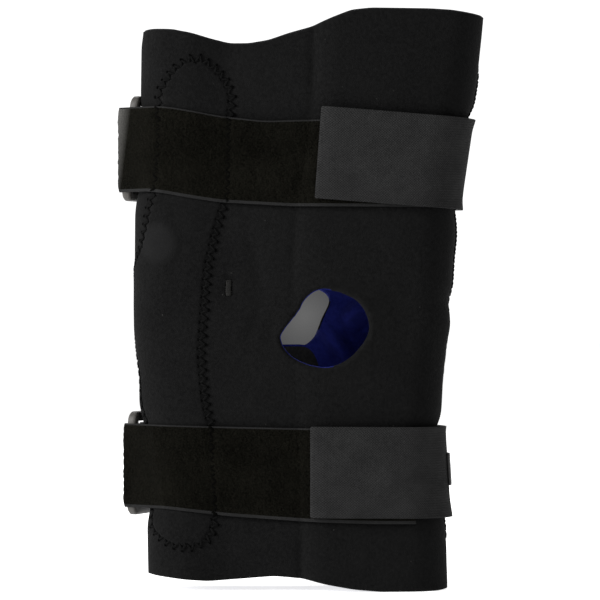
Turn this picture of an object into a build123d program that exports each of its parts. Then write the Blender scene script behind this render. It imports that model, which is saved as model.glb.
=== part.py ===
from build123d import *
import math
import os

# Hinged knee brace, standing as it is worn: +Z up the leg, the kneecap side faces -Y,
# and +X is the wearer's inner side. Millimetres. The origin is under the middle, on the floor.

# --- sleeve ---------------------------------------------------------------------------
# Heights, and how far the sleeve reaches to the left, to the right and front to back there.
SECTIONS = [
    (0.0, -82.8, 80.8, 27.5),
    (41.0, -83.2, 78.0, 27.6),
    (92.0, -87.2, 75.4, 27.8),
    (125.0, -89.4, 79.8, 28.0),
    (152.0, -91.0, 83.0, 28.0),
    (205.0, -90.0, 82.0, 28.3),
    (266.0, -87.8, 90.6, 28.8),
    (330.0, -85.6, 104.0, 29.5),
]
FOLD_RADIUS = 24.0
NEOPRENE = 4.0
SLEEVE_HEIGHT = 325.0
TOP_HEM = [(-110, 316), (-72, 317), (-36, 311), (-4, 313), (26, 322.5), (52, 325), (112, 321)]
CALF_TOP = 104.0
THIGH_BOTTOM = 200.0
SEAM_GAP = 0.3

KNEE_HEIGHT = 152.0
PATELLA_CENTRE = (13.7, 146.5)
PATELLA_SIZE = (51.0, 44.0)
POPLITEAL_CENTRE = (-21.5, 151.0)
POPLITEAL_SIZE = (75.0, 54.0)

# --- pockets over the side hinges -----------------------------------------------------
POCKET_SKIN = 1.5
POCKET_LOW = 25.0
POCKET_HIGH = 296.0
POCKET_FRONT = [(-62, 25), (-52, 32), (-47, 60), (-50, 100), (-53.5, 152)]
POCKET_FRONT += [(-48, 200), (-39, 262), (-43, 286), (-57, 296)]
POCKET_REACH = 18.0
POCKET_SHOULDER = 30.0
CENTRE_LINE = -4.0

# --- side hinges ----------------------------------------------------------------------
LEFT_HINGE = {"pivot": -81.2, "thigh_end": -83.5, "calf_end": -80.0, "side": -1}
RIGHT_HINGE = {"pivot": 72.6, "thigh_end": 86.0, "calf_end": 72.6, "side": 1}
ARM_THICKNESS = 2.5
ARM_WIDTH = 14.0
ARM_TOP = 272.0
ARM_BOTTOM = 50.0
BEND_DISTANCE = 36.0
HEAD_RADIUS = 11.0
HEAD_CLEARANCE = 0.3
LUG_REACH = 13.6
LUG_HEIGHT = 6.0
STOP_GAP = 0.05
FLEXION_LIMIT = 110.0
COVER_RADIUS = 14.0
COVER_THICKNESS = 1.2
COVER_TAIL = 33.0
WASHER_RADIUS = 9.0
WASHER_THICKNESS = 0.5
PLAY = 0.02
RIVET_RADIUS = 3.0
RIVET_CLEARANCE = 0.05
RIVET_HEAD_RADIUS = 5.0
RIVET_HEAD = 0.5
SMALL_RIVET_RADIUS = 1.6
SMALL_RIVET_HEAD_RADIUS = 2.9
SMALL_RIVET_DROPS = (19.0, 28.0)
SPACER_RADIUS = 3.0
LUG_ROOT = 22.0
FLANK_LENGTH = 40.0
CHANNEL_BACK = 3.7
CHANNEL_ROOM = 1.0
CHANNEL_END_ROOM = 3.0
CHANNEL_WALL = 2.2
WALL_SIDE = 2.5
WALL_END = 5.0

# --- straps ---------------------------------------------------------------------------
BAND_THICKNESS = 1.6
STRAP_THICKNESS = 1.8
BAND_OFFSET = 2.2
ANCHOR_OFFSET = 2.1
RETURN_OFFSET = 4.1
LABEL_OFFSET = 6.1
LABEL_THICKNESS = 0.9
BAR_CLEARANCE = 0.3
RING_SECTION_RADIUS = 2.8
RING_REACH = 22.5
RING_CORNER = 3.6
RING_LIMB_SPACING = 52.8
STRAP_WIDTH = 45.0
TAB_WIDTH = 50.8
# Each strap's height at X = 0, how much it falls for each millimetre to the right, its ring's
# front bar, where its tab ends and starts, and how far its band's free end goes round the fold.
STRAPS = {
    "upper": {"height": 242.4, "fall": 0.05, "bar": -97.4, "tab_end": 8.0, "tab_start": 62.0,
              "free_angle": 30.0},
    "lower": {"height": 67.8, "fall": 0.03, "bar": -94.4, "tab_end": 5.6, "tab_start": 53.0,
              "free_angle": 10.0},
}
BAND_WRAP_END = 20.0
BAND_TAIL = 5.0
ANCHOR_START = 56.0
TACK_AT = (-40.0, 169.0)
TACK_SIZE = (3.4, 8.0, 0.8)
TACK_CORNER = 1.3
LABEL_HEIGHT = 67.5
LABEL_WIDTH = 18.0
LABEL_ANGLES = (-12.0, 24.0)
FAR = 200.0


class Oval:
    """One level of the sleeve: two flat arcs front and back, joined by two round folds."""

    def __init__(self, height):
        left, right, self.half_depth = self.between(height)
        self.middle = (left + right) / 2
        self.fold = (right - left) / 2 - FOLD_RADIUS
        rise = self.fold**2 + self.half_depth**2 - FOLD_RADIUS**2
        self.flat_radius = rise / (2 * (self.half_depth - FOLD_RADIUS))
        self.flat_centre = self.flat_radius - self.half_depth
        # the angle, up from the X axis, at which a fold runs into the front or back
        self.join = math.degrees(math.atan2(self.flat_centre, self.fold))
        self.height = height

    def between(self, height):
        rows = zip(SECTIONS[:-1], SECTIONS[1:])
        low, high = next((a, b) for a, b in rows if height <= b[0])
        part = (height - low[0]) / (high[0] - low[0])
        return [a + (b - a) * part for a, b in zip(low[1:], high[1:])]

    def on_fold(self, side, angle, out):
        """A point on the left (-1) or right (1) fold. 0 degrees is the outermost, + is behind."""
        reach = FOLD_RADIUS + out
        x = self.middle + side * (self.fold + reach * math.cos(math.radians(angle)))
        return Vector(x, reach * math.sin(math.radians(angle)), self.height)

    def on_flat(self, face, x, out):
        """A point on the front (-1) or the back (1)."""
        reach = self.flat_radius + out
        depth = math.sqrt(reach**2 - (x - self.middle) ** 2) - self.flat_centre
        return Vector(x, face * depth, self.height)

    def fold_arc(self, side, start, end, out):
        angles = (start, (start + end) / 2, end)
        return ThreePointArc(*[self.on_fold(side, angle, out) for angle in angles])

    def flat_arc(self, face, start, end, out):
        places = (start, (start + end) / 2, end)
        return ThreePointArc(*[self.on_flat(face, x, out) for x in places])

    def join_x(self, side, out):
        return self.on_fold(side, self.join, out).X

    def outline(self, out):
        left, right = self.join_x(-1, out), self.join_x(1, out)
        edges = [
            self.flat_arc(-1, left, right, out),
            self.fold_arc(1, -self.join, self.join, out),
            self.flat_arc(1, right, left, out),
            self.fold_arc(-1, self.join, -self.join, out),
        ]
        return make_face(edges)


def sleeve_form(out):
    """The whole sleeve as a filled form, its surface moved out by a distance."""
    return loft([Oval(row[0]).outline(out) for row in SECTIONS], ruled=True)


def slab(low, high):
    return Pos(0, 0, (low + high) / 2) * Box(2 * FAR, 2 * FAR, high - low)


def side_prism(points, half_width):
    """A closed outline drawn in X and Z, as thick as it is told front to back."""
    face = make_face(Polyline([(x, 0, z) for x, z in points], close=True))
    return extrude(face, half_width, dir=(0, 1, 0), both=True)


def hem_cutter():
    """Everything above the waved top hem."""
    hem = Spline([(x, 0, z) for x, z in TOP_HEM])
    rest = Polyline([hem @ 1, (FAR, 0, TOP_HEM[-1][1]), (FAR, 0, 2 * FAR), (-FAR, 0, 2 * FAR),
                     (-FAR, 0, TOP_HEM[0][1]), hem @ 0])
    return extrude(make_face([hem, rest]), FAR, dir=(0, 1, 0), both=True)


def oval_hole(centre, size, face):
    x, z = centre
    hole = Plane((x, 0, z), x_dir=(1, 0, 0), z_dir=(0, 1, 0)) * Ellipse(size[0] / 2, size[1] / 2)
    return extrude(hole, face * FAR)


def arm_line(hinge, shift):
    """The bent line of a side's two arms, from the bottom to the top, moved sideways."""
    return [
        (hinge["calf_end"] + shift, ARM_BOTTOM),
        (hinge["pivot"] + shift, KNEE_HEIGHT - BEND_DISTANCE),
        (hinge["pivot"] + shift, KNEE_HEIGHT + BEND_DISTANCE),
        (hinge["thigh_end"] + shift, ARM_TOP),
    ]


def outside_line(hinge, inward, end_room):
    """An outline from a line beside the arms out to past the sleeve."""
    side = hinge["side"]
    line = arm_line(hinge, -side * inward)
    line[0] = (line[0][0], line[0][1] - end_room)
    line[-1] = (line[-1][0], line[-1][1] + end_room)
    return line + [(side * FAR, line[-1][1]), (side * FAR, line[0][1])]


def hinge_channel(hinge):
    """The room for one hinge, open to the outside until the pocket closes it."""
    outline = outside_line(hinge, CHANNEL_BACK, CHANNEL_END_ROOM)
    narrow = side_prism(outline, ARM_WIDTH / 2 + CHANNEL_ROOM)
    reach = COVER_RADIUS + CHANNEL_ROOM
    low = KNEE_HEIGHT - COVER_TAIL - CHANNEL_END_ROOM
    wide = side_prism(outline, reach) & slab(low, KNEE_HEIGHT + reach)
    return narrow + wide


def hinge_wall(hinge, form):
    """The neoprene that passes on the leg's side of the hinge."""
    outline = outside_line(hinge, CHANNEL_BACK + CHANNEL_WALL, CHANNEL_END_ROOM + WALL_END)
    return side_prism(outline, COVER_RADIUS + CHANNEL_ROOM + WALL_SIDE) & form


def sleeves(form):
    shell = form - sleeve_form(-NEOPRENE)
    for hinge in (LEFT_HINGE, RIGHT_HINGE):
        shell += hinge_wall(hinge, form)
    for hinge in (LEFT_HINGE, RIGHT_HINGE):
        shell -= hinge_channel(hinge)
    shell -= hem_cutter()
    shell -= oval_hole(PATELLA_CENTRE, PATELLA_SIZE, -1)
    shell -= oval_hole(POPLITEAL_CENTRE, POPLITEAL_SIZE, 1)
    return split_at_knee(shell, "{}_sleeve")


def split_at_knee(whole, name):
    return {
        name.format("calf"): whole & slab(-1.0, CALF_TOP),
        name.format("knee"): whole & slab(CALF_TOP, THIGH_BOTTOM),
        name.format("thigh"): whole & slab(THIGH_BOTTOM + SEAM_GAP, FAR * 2),
    }


def pocket(side, form):
    """One pocket skin, round a fold and onto the front on the left, or the back on the right."""
    line = Spline([(x, 0, z) for x, z in POCKET_FRONT])
    corners = [(-FAR, 0, POCKET_HIGH - POCKET_SHOULDER), (-FAR, 0, POCKET_LOW + POCKET_SHOULDER)]
    rest = Polyline([line @ 1] + corners + [line @ 0])
    zone = extrude(make_face([line, rest]), FAR, dir=(0, 1, 0), both=True)
    zone &= Pos(0, POCKET_REACH - FAR / 2, FAR) * Box(2 * FAR, FAR, 2 * FAR)
    if side > 0:
        zone = Pos(2 * CENTRE_LINE, 0, 0) * Rot(0, 0, 180) * zone
    skin = (sleeve_form(POCKET_SKIN) - form) & zone
    name = ("left" if side < 0 else "right") + "_{}_pocket"
    return split_at_knee(skin, name)


def profile(faces, low, high):
    """2D shapes drawn in Y and Z about the knee pivot, thick along X."""
    placed = Plane((0, 0, KNEE_HEIGHT), x_dir=(0, 1, 0), z_dir=(1, 0, 0)) * faces
    return Pos(low, 0, 0) * extrude(placed, high - low)


def disc(radius, y=0.0, z=0.0):
    return Pos(y, z) * Circle(radius)


def block(y_low, y_high, z_low, z_high):
    return Pos((y_low + y_high) / 2, (z_low + z_high) / 2) * Rectangle(y_high - y_low, z_high - z_low)


def arm_slab(hinge):
    """The bent sheet that both arms of one hinge are cut from."""
    half = ARM_THICKNESS / 2
    return side_prism(arm_line(hinge, half) + arm_line(hinge, -half)[::-1], COVER_RADIUS * 2)


def rounded_end(z, up):
    """A bar from the pivot to its far end, which is a half circle."""
    half = ARM_WIDTH / 2
    low, high = sorted((0, z - up * half))
    return block(-half, half, low, high) + disc(half, 0, z - up * half)


def thigh_arm(hinge):
    shape = rounded_end(ARM_TOP - KNEE_HEIGHT, 1) + disc(HEAD_RADIUS)
    shape += block(-LUG_REACH, -HEAD_RADIUS / 2, 0, LUG_HEIGHT)
    shape -= disc(RIVET_RADIUS + RIVET_CLEARANCE)
    return profile(shape, -FAR, FAR) & arm_slab(hinge)


def calf_arm(hinge):
    shape = rounded_end(ARM_BOTTOM - KNEE_HEIGHT, -1)
    shape += block(-LUG_REACH, -ARM_WIDTH / 2, -LUG_ROOT, -STOP_GAP)
    shape -= disc(HEAD_RADIUS + HEAD_CLEARANCE)
    # where the thigh arm's flank comes to rest when the knee is fully bent
    flank = ARM_WIDTH / 2 + STOP_GAP
    shape -= Rot(0, 0, -FLEXION_LIMIT) * block(-flank, flank, 0, FLANK_LENGTH)
    for drop in SMALL_RIVET_DROPS:
        shape -= disc(SMALL_RIVET_RADIUS, 0, -drop)
    return profile(shape, -FAR, FAR) & arm_slab(hinge)


def cover(hinge, out):
    """A cover plate, outside (1) or inside (-1) of the arms."""
    tail = disc(ARM_WIDTH / 2 + 1.0, 0, ARM_WIDTH / 2 + 1.0 - COVER_TAIL)
    shape = make_hull((disc(COVER_RADIUS) + tail).edges()) - disc(RIVET_RADIUS)
    for drop in SMALL_RIVET_DROPS:
        shape -= disc(SMALL_RIVET_RADIUS, 0, -drop)
    low = ARM_THICKNESS / 2 + WASHER_THICKNESS
    return across(hinge, shape, out, low, low + COVER_THICKNESS)


def across(hinge, shape, out, low, high):
    """A shape between two distances from the arms' mid plane, on their outer or inner side."""
    ends = sorted(out * hinge["side"] * value for value in (low, high))
    return profile(shape, hinge["pivot"] + ends[0], hinge["pivot"] + ends[1])


def washers(hinge):
    ring = disc(WASHER_RADIUS) - disc(RIVET_RADIUS + RIVET_CLEARANCE)
    low = ARM_THICKNESS / 2 + PLAY
    high = ARM_THICKNESS / 2 + WASHER_THICKNESS
    return Compound([across(hinge, ring, out, low, high) for out in (1, -1)])


def rivet(hinge, radius, head_radius, drop):
    half = ARM_THICKNESS / 2 + WASHER_THICKNESS + COVER_THICKNESS
    shape = across(hinge, disc(radius, 0, -drop), 1, -half, half)
    for out in (1, -1):
        shape += across(hinge, disc(head_radius, 0, -drop), out, half, half + RIVET_HEAD)
    return shape


def spacers(hinge):
    """Rings that fill the washers' gap under the covers, round each small rivet."""
    low = ARM_THICKNESS / 2
    high = low + WASHER_THICKNESS
    rings = []
    for drop in SMALL_RIVET_DROPS:
        ring = disc(SPACER_RADIUS, 0, -drop) - disc(SMALL_RIVET_RADIUS, 0, -drop)
        rings += [across(hinge, ring, out, low, high) for out in (1, -1)]
    return Compound(rings)


def small_rivets(hinge):
    rivets = []
    for drop in SMALL_RIVET_DROPS:
        rivets.append(rivet(hinge, SMALL_RIVET_RADIUS, SMALL_RIVET_HEAD_RADIUS, drop))
    return Compound(rivets)


def side_hinge(side_name, hinge):
    return {
        side_name + "_thigh_arm": thigh_arm(hinge),
        side_name + "_calf_arm": calf_arm(hinge),
        side_name + "_hinge_outer_cover": cover(hinge, 1),
        side_name + "_hinge_inner_cover": cover(hinge, -1),
        side_name + "_hinge_washers": washers(hinge),
        side_name + "_pivot_rivet": rivet(hinge, RIVET_RADIUS, RIVET_HEAD_RADIUS, 0.0),
        side_name + "_cover_rivets": small_rivets(hinge),
        side_name + "_cover_spacers": spacers(hinge),
    }


def ribbon(path, thickness, fall):
    """A strip of even thickness along a path of lines and arcs, in a plane that falls with X."""
    sides = []
    for out in (thickness / 2, -thickness / 2):
        side = []
        for edge in path:
            places = []
            for along in (0, 0.5, 1):
                tangent = edge % along
                place = edge @ along + Vector(-tangent.Y, tangent.X, 0) * out
                places.append(place - Vector(0, 0, fall * place.X))
            straight = edge.geom_type == GeomType.LINE
            side.append(Line(places[0], places[2]) if straight else ThreePointArc(*places))
        sides.append(side)
    ends = [Line(sides[0][0] @ 0, sides[1][0] @ 0), Line(sides[0][-1] @ 1, sides[1][-1] @ 1)]
    return make_face(sides[0] + sides[1] + ends)


def strap(route, middle, width, thickness, fall):
    """A strap between its two edges, each with its own route round the sleeve."""
    edges = (middle - width / 2, middle + width / 2)
    return loft([ribbon(route(Oval(height)), thickness, fall) for height in edges], ruled=True)


def sewn_strap(route, settings, thickness):
    return strap(route, settings["height"], STRAP_WIDTH, thickness, settings["fall"])


def around(centre, radius, start, end, height):
    """An arc about a ring's bar, in degrees from +X towards +Y."""
    points = []
    for angle in (start, (start + end) / 2, end):
        turn = math.radians(angle)
        x = centre[0] + radius * math.cos(turn)
        y = centre[1] + radius * math.sin(turn)
        points.append(Vector(x, y, height))
    return ThreePointArc(*points)


def rear_bar(settings):
    """Where the ring's rear bar stands: on a circle about the fold, one ring's reach on."""
    oval = Oval(settings["height"])
    fold_x = oval.middle - oval.fold
    reach = fold_x - settings["bar"]
    turn = 2 * math.asin(RING_REACH / 2 / reach)
    return fold_x - reach * math.cos(turn), reach * math.sin(turn)


def front_band(settings):
    """The loop band: round the ring's front bar, over the left fold and across the front."""
    out = BAND_OFFSET + BAND_THICKNESS / 2
    bar_radius = RING_SECTION_RADIUS + BAR_CLEARANCE + BAND_THICKNESS / 2

    def route(oval):
        fold_x = oval.middle - oval.fold
        bar = (settings["bar"], 0.0)
        lean = math.degrees(math.acos((FOLD_RADIUS + out - bar_radius) / (fold_x - bar[0])))
        leave = oval.on_fold(-1, -lean, out)
        wrap = around(bar, bar_radius, 180 + lean, BAND_WRAP_END, oval.height)
        tail = Line(wrap @ 1, wrap @ 1 + (wrap % 1) * BAND_TAIL)
        return [
            oval.fold_arc(1, -oval.join + settings["free_angle"], -oval.join, out),
            oval.flat_arc(-1, oval.join_x(1, out), oval.join_x(-1, out), out),
            oval.fold_arc(-1, -oval.join, -lean, out),
            Line(leave, wrap @ 0),
            wrap,
            tail,
        ]

    return sewn_strap(route, settings, BAND_THICKNESS)


def anchor_run(settings):
    """The strap's first run, from its sewn end across the back to the left fold."""
    out = ANCHOR_OFFSET + STRAP_THICKNESS / 2

    def route(oval):
        return [oval.flat_arc(1, ANCHOR_START, oval.join_x(-1, out) + SEAM_GAP, out)]

    return sewn_strap(route, settings, STRAP_THICKNESS)


def strap_turn(settings):
    """The strap's turn through the ring: in along the sleeve, round the rear bar, and out."""
    inner = ANCHOR_OFFSET + STRAP_THICKNESS / 2
    outer = RETURN_OFFSET + STRAP_THICKNESS / 2
    bar = rear_bar(settings)
    bar_radius = RING_SECTION_RADIUS + BAR_CLEARANCE + STRAP_THICKNESS / 2

    def route(oval):
        fold_x = oval.middle - oval.fold
        apart = math.hypot(bar[0] - fold_x, bar[1])
        bearing = math.degrees(math.atan2(bar[1], fold_x - bar[0]))
        cross = math.degrees(math.acos((FOLD_RADIUS + inner + bar_radius) / apart))
        outside = math.degrees(math.acos((FOLD_RADIUS + outer - bar_radius) / apart))
        in_angle, out_angle = bearing + cross, bearing + outside
        wrap = around(bar, bar_radius, 360 - in_angle, 180 - out_angle, oval.height)
        return [
            oval.fold_arc(-1, oval.join, in_angle, inner),
            Line(oval.on_fold(-1, in_angle, inner), wrap @ 0),
            wrap,
            Line(wrap @ 1, oval.on_fold(-1, out_angle, outer)),
        ]

    return sewn_strap(route, settings, STRAP_THICKNESS)


def return_run(settings):
    """The strap's second run, back over the first, round the right fold and onto the front."""
    out = RETURN_OFFSET + STRAP_THICKNESS / 2

    def route(oval):
        left = oval.join_x(-1, out) + 2 * SEAM_GAP
        right = oval.join_x(1, out)
        return [
            oval.flat_arc(1, left, right, out),
            oval.fold_arc(1, oval.join, -oval.join, out),
            oval.flat_arc(-1, right, settings["tab_start"] + SEAM_GAP, out),
        ]

    return sewn_strap(route, settings, STRAP_THICKNESS)


def hook_tab(settings):
    """The hook tab that presses onto the loop band."""
    out = RETURN_OFFSET + STRAP_THICKNESS / 2

    def route(oval):
        return [oval.flat_arc(-1, settings["tab_end"], settings["tab_start"], out)]

    return strap(route, settings["height"], TAB_WIDTH, STRAP_THICKNESS, settings["fall"])


def ring(settings):
    """A rectangular strap ring of round section, standing beside the left fold."""
    bar = rear_bar(settings)
    turn = math.degrees(math.atan2(bar[1], bar[0] - settings["bar"]))
    half = RING_LIMB_SPACING / 2
    corners = [(0, 0, half), (RING_REACH, 0, half), (RING_REACH, 0, -half), (0, 0, -half)]
    path = FilletPolyline(corners, radius=RING_CORNER, close=True)
    section = Plane(origin=path @ 0, z_dir=path % 0) * Circle(RING_SECTION_RADIUS)
    height = settings["height"] - settings["fall"] * settings["bar"]
    return Pos(settings["bar"], 0, height) * Rot(0, 0, turn) * sweep(section, path)


def bar_tack():
    x, z = TACK_AT
    oval = Oval(z)
    at = oval.on_flat(-1, x, 0)
    width, height, depth = TACK_SIZE
    plate = Box(width, 2 * depth, height)
    plate = fillet(plate.edges().filter_by(Axis.Y), TACK_CORNER)
    return (Pos(x, at.Y, z) * plate) - sleeve_form(0.0)


def side_label():
    """A blank folded label on the lower strap, at the right fold."""
    out = LABEL_OFFSET + LABEL_THICKNESS / 2

    def route(oval):
        return [oval.fold_arc(1, LABEL_ANGLES[0], LABEL_ANGLES[1], out)]

    return strap(route, LABEL_HEIGHT, LABEL_WIDTH, LABEL_THICKNESS, 0.0)


def make_nodes():
    form = sleeve_form(0.0)
    nodes = sleeves(form)
    nodes |= pocket(-1, form)
    nodes |= pocket(1, form)
    nodes |= side_hinge("left", LEFT_HINGE)
    nodes |= side_hinge("right", RIGHT_HINGE)
    for name, settings in STRAPS.items():
        nodes[name + "_front_band"] = front_band(settings)
        nodes[name + "_ring"] = ring(settings)
        nodes[name + "_strap_anchor_run"] = anchor_run(settings)
        nodes[name + "_strap_turn"] = strap_turn(settings)
        nodes[name + "_strap_return_run"] = return_run(settings)
        nodes[name + "_hook_tab"] = hook_tab(settings)
    nodes["pocket_bar_tack"] = bar_tack()
    nodes["side_label"] = side_label()
    return nodes


os.makedirs("parts", exist_ok=True)
nodes = make_nodes()
for name, shape in nodes.items():
    export_step(shape, f"parts/{name}.step")
whole = Compound(list(nodes.values())).bounding_box()
print("low", whole.min, "high", whole.max)
for name, settings in STRAPS.items():
    for edge in (-TAB_WIDTH / 2, TAB_WIDTH / 2):
        start = Oval(settings["height"] + edge).on_flat(-1, settings["tab_start"], RETURN_OFFSET)
        print(name, "tab root", start - Vector(0, STRAP_THICKNESS, 0))
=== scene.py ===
import math

import bmesh
import bpy
import numpy as np
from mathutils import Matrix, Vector


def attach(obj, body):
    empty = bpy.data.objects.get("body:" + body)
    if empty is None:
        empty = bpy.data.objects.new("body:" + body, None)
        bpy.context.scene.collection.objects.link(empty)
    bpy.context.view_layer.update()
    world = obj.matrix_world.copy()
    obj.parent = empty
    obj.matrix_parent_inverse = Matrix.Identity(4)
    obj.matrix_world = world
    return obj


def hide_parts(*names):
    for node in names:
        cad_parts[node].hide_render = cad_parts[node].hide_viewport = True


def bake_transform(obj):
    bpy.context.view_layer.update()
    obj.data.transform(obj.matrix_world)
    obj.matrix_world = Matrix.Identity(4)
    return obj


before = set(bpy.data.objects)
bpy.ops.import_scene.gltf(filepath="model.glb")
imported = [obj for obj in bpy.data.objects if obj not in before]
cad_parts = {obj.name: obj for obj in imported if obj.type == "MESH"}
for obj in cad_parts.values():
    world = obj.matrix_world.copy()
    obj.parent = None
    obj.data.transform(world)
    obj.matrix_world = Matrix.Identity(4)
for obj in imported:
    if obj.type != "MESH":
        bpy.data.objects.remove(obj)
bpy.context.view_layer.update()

# Hinged knee brace. Every working length below is in millimetres; meshes are made in metres.
MM = 0.001
CALF, THIGH = "calf", "thigh"

FOLD = 24.0
NEOPRENE = 4.0


# --- curves ----------------------------------------------------------------------------
def eased(points, soft):
    """A line through given points with its corners eased over a distance."""
    xs = np.array([p[0] for p in points], float)
    ys = np.array([p[1] for p in points], float)
    step = 0.5
    fine = np.arange(xs[0] - soft, xs[-1] + soft + step, step)
    count = max(3, 2 * int(soft / step) + 1)
    kernel = np.hanning(count + 2)[1:-1]
    line = np.pad(np.interp(fine, xs, ys), count // 2, mode="edge")
    line = np.convolve(line, kernel / kernel.sum(), "valid")
    return lambda v: np.interp(v, fine, line)


def smooth_step(low, high, v):
    part = np.clip((np.asarray(v, float) - low) / (high - low), 0, 1)
    return part * part * (3 - 2 * part)


def bump_at(v, centre, reach):
    """1 at the centre, falling to 0 like a bell."""
    return np.exp(-((np.asarray(v, float) - centre) / reach) ** 2)


def smooth_max(a, b, soft):
    return 0.5 * (a + b + np.sqrt((a - b) ** 2 + soft * soft))


top_hem = eased([(-110, 312.5), (-84, 313), (-72, 312.4), (-61, 310.4), (-50, 307.2), (-39, 304.6), (-28, 304.6),
                 (-17, 306.4), (-6, 310.2), (6, 313.4), (17, 318.2), (28, 322.6), (39, 323.8), (72, 323.6),
                 (84, 323), (95, 321.8), (112, 320)], 4)
low_hem = eased([(-95, 9.5), (-75, 7.3), (-57, 6), (-39, 7.3), (-18, 9), (0, 7.6), (10, 5),
                 (28, 1.8), (50, 0), (70, 0), (85, 1)], 7)


# --- the sleeve's surface --------------------------------------------------------------
# Its two folds, and half of its depth, at each height.
left_fold = eased([(0, -85.4), (36, -86.0), (47, -84.2), (92, -87.6), (104, -90.4), (118, -90.4), (131, -91.4),
                   (145, -92.5), (171, -92.6), (185, -93.0), (211, -92.8), (218, -92.0), (228, -89.2),
                   (262, -88.0), (276, -89.6), (305, -89.2), (312, -88.2), (330, -87.0)], 5)
right_fold = eased([(0, 83.0), (24, 82.4), (37, 81.2), (51, 79.2), (91, 77.0), (98, 79.0), (111, 80.2), (124, 81.4),
                    (138, 82.9), (148, 84.6), (154, 84.3), (161, 83.2), (171, 85.4), (185, 86.2), (198, 87.6),
                    (205, 87.4), (218, 85.8), (225, 86.6), (258, 91.5), (265, 94.0), (272, 97.4), (285, 99.6),
                    (299, 101.0), (312, 102.4), (330, 104.0)], 4)
half_depth = eased([(0, 27.5), (92, 27.8), (152, 28.0), (205, 28.3), (266, 28.8), (330, 29.5)], 5)


def plan(z):
    z = np.clip(z, 0, 330)
    left, right, depth = left_fold(z), right_fold(z), half_depth(z)
    middle = (left + right) / 2
    reach = (right - left) / 2 - FOLD
    radius = (reach**2 + depth**2 - FOLD**2) / (2 * (depth - FOLD))
    centre = radius - depth
    return middle, reach, radius, centre, np.arctan2(centre, reach)


def outline(t, z):
    """Point and outward direction in plan; t runs 0 left fold, 0.25 front, 0.5 right fold, 0.75 back."""
    t = np.mod(t, 1.0)
    z = z + 0 * t
    middle, reach, radius, centre, turn = plan(z)
    fan = np.pi / 2 - turn
    fold_length, flat_length = FOLD * turn, 2 * radius * fan
    along = np.where(t > 0.5, 1 - t, t) * 2 * (2 * fold_length + flat_length)
    a = np.minimum(along, fold_length) / FOLD
    b = turn - np.clip(along - fold_length - flat_length, 0, None) / FOLD
    phi = np.clip((along - fold_length) / radius, 0, 2 * fan) - fan
    on_left, on_right = along < fold_length, along > fold_length + flat_length
    pick = lambda left, right, flat: np.where(on_left, left, np.where(on_right, right, flat))
    x = pick(middle - reach - FOLD * np.cos(a), middle + reach + FOLD * np.cos(b), middle + radius * np.sin(phi))
    y = pick(-FOLD * np.sin(a), -FOLD * np.sin(b), centre - radius * np.cos(phi))
    nx = pick(-np.cos(a), np.cos(b), np.sin(phi))
    ny = pick(-np.sin(a), -np.sin(b), -np.cos(phi))
    flip = np.where(t > 0.5, -1, 1)
    return x, y * flip, nx, ny * flip


def at_x(x, z, behind=False):
    """The t of a place across the front, or the back, of the sleeve."""
    middle, reach, radius, centre, turn = plan(z)
    fan = np.pi / 2 - turn
    fold_length, flat_length = FOLD * turn, 2 * radius * fan
    total = 2 * fold_length + flat_length
    dx = x - middle
    edge = reach + FOLD * np.cos(turn)
    flat = radius * (np.arcsin(np.clip(dx / radius, -1, 1)) + fan) + fold_length
    left = FOLD * np.arccos(np.clip((-dx - reach) / FOLD, -1, 1))
    right = total - FOLD * np.arccos(np.clip((dx - reach) / FOLD, -1, 1))
    t = np.where(dx < -edge, left, np.where(dx > edge, right, flat)) / total / 2
    return 1 - t if behind else t


crease_x = eased([(-10, 2), (40, 1.5), (100, 0), (150, -2), (180, -3), (212, -1), (264, 8), (335, 9)], 20)
valley_depth = eased([(-10, 8), (20, 7.5), (45, 5), (90, 4), (120, 3), (160, 2.5), (200, 5), (215, 5),
                      (265, 5.5), (300, 8), (335, 9)], 16)
hump_depth = eased([(-10, 3), (40, 2.5), (100, 1.5), (200, 1.5), (270, 2), (335, 3)], 20)


def front_hollow(x, z):
    """How far the front is pushed in: a valley left of the middle, a hump further left."""
    valley, hump, crease = valley_depth(z), hump_depth(z), crease_x(z)
    rise_left = smooth_step(-66, -38, x)
    level = hump + (valley - hump) * rise_left
    rise = np.clip((x - crease + 1) / 16, 0, 1)
    level = level * (1 - 0.3 * smooth_step(-30, 0, x - crease))
    level = level * (1 - rise) ** 2.3 * smooth_step(-88, -68, x)
    sharp = smooth_step(262, 285, z) + smooth_step(45, 20, z) + 0.7 * bump_at(z, 192, 16)
    level = level + 0.8 * sharp * bump_at(x, crease - 1, 2.0)
    arc = -22.5 - 0.012 * (z - 168) ** 2 / 1.6 + 0 * x
    level = level + 0.9 * bump_at(x, arc, 3.6) * smooth_step(132, 145, z) * smooth_step(206, 190, z)
    level = level + 1.3 * bump_at(x, -17, 6) * bump_at(z, 146, 8)
    patch = np.hypot((x + 79) / 10.5, (z - 194) / 12.0)
    level = level - 1.3 * np.clip((x + 91) / 20, 0, 1.2) * smooth_step(1.5, 0.7, patch)
    level = level + 1.3 * bump_at(x, -40, 3.4) * bump_at(z, 169, 6.5)
    level = level - 0.7 * bump_at(x, -55, 12) * bump_at(z, 130, 22)
    level = level + 0.9 * np.sin((x * 0.75 + z) * 0.075) * smooth_step(100, 120, z) * smooth_step(214, 190, z) \
        * smooth_step(30, 60, x) * smooth_step(88, 74, x)
    return level


def oval(x, z, centre, lean, long, short):
    """1 in the middle of an oval place, falling away like a bell; its length leans by that many degrees."""
    dx, dz = x - centre[0], z - centre[1]
    c, n = math.cos(math.radians(lean)), math.sin(math.radians(lean))
    return np.exp(-((dx * c + dz * n) / long) ** 2 - ((dz * c - dx * n) / short) ** 2)


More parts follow.
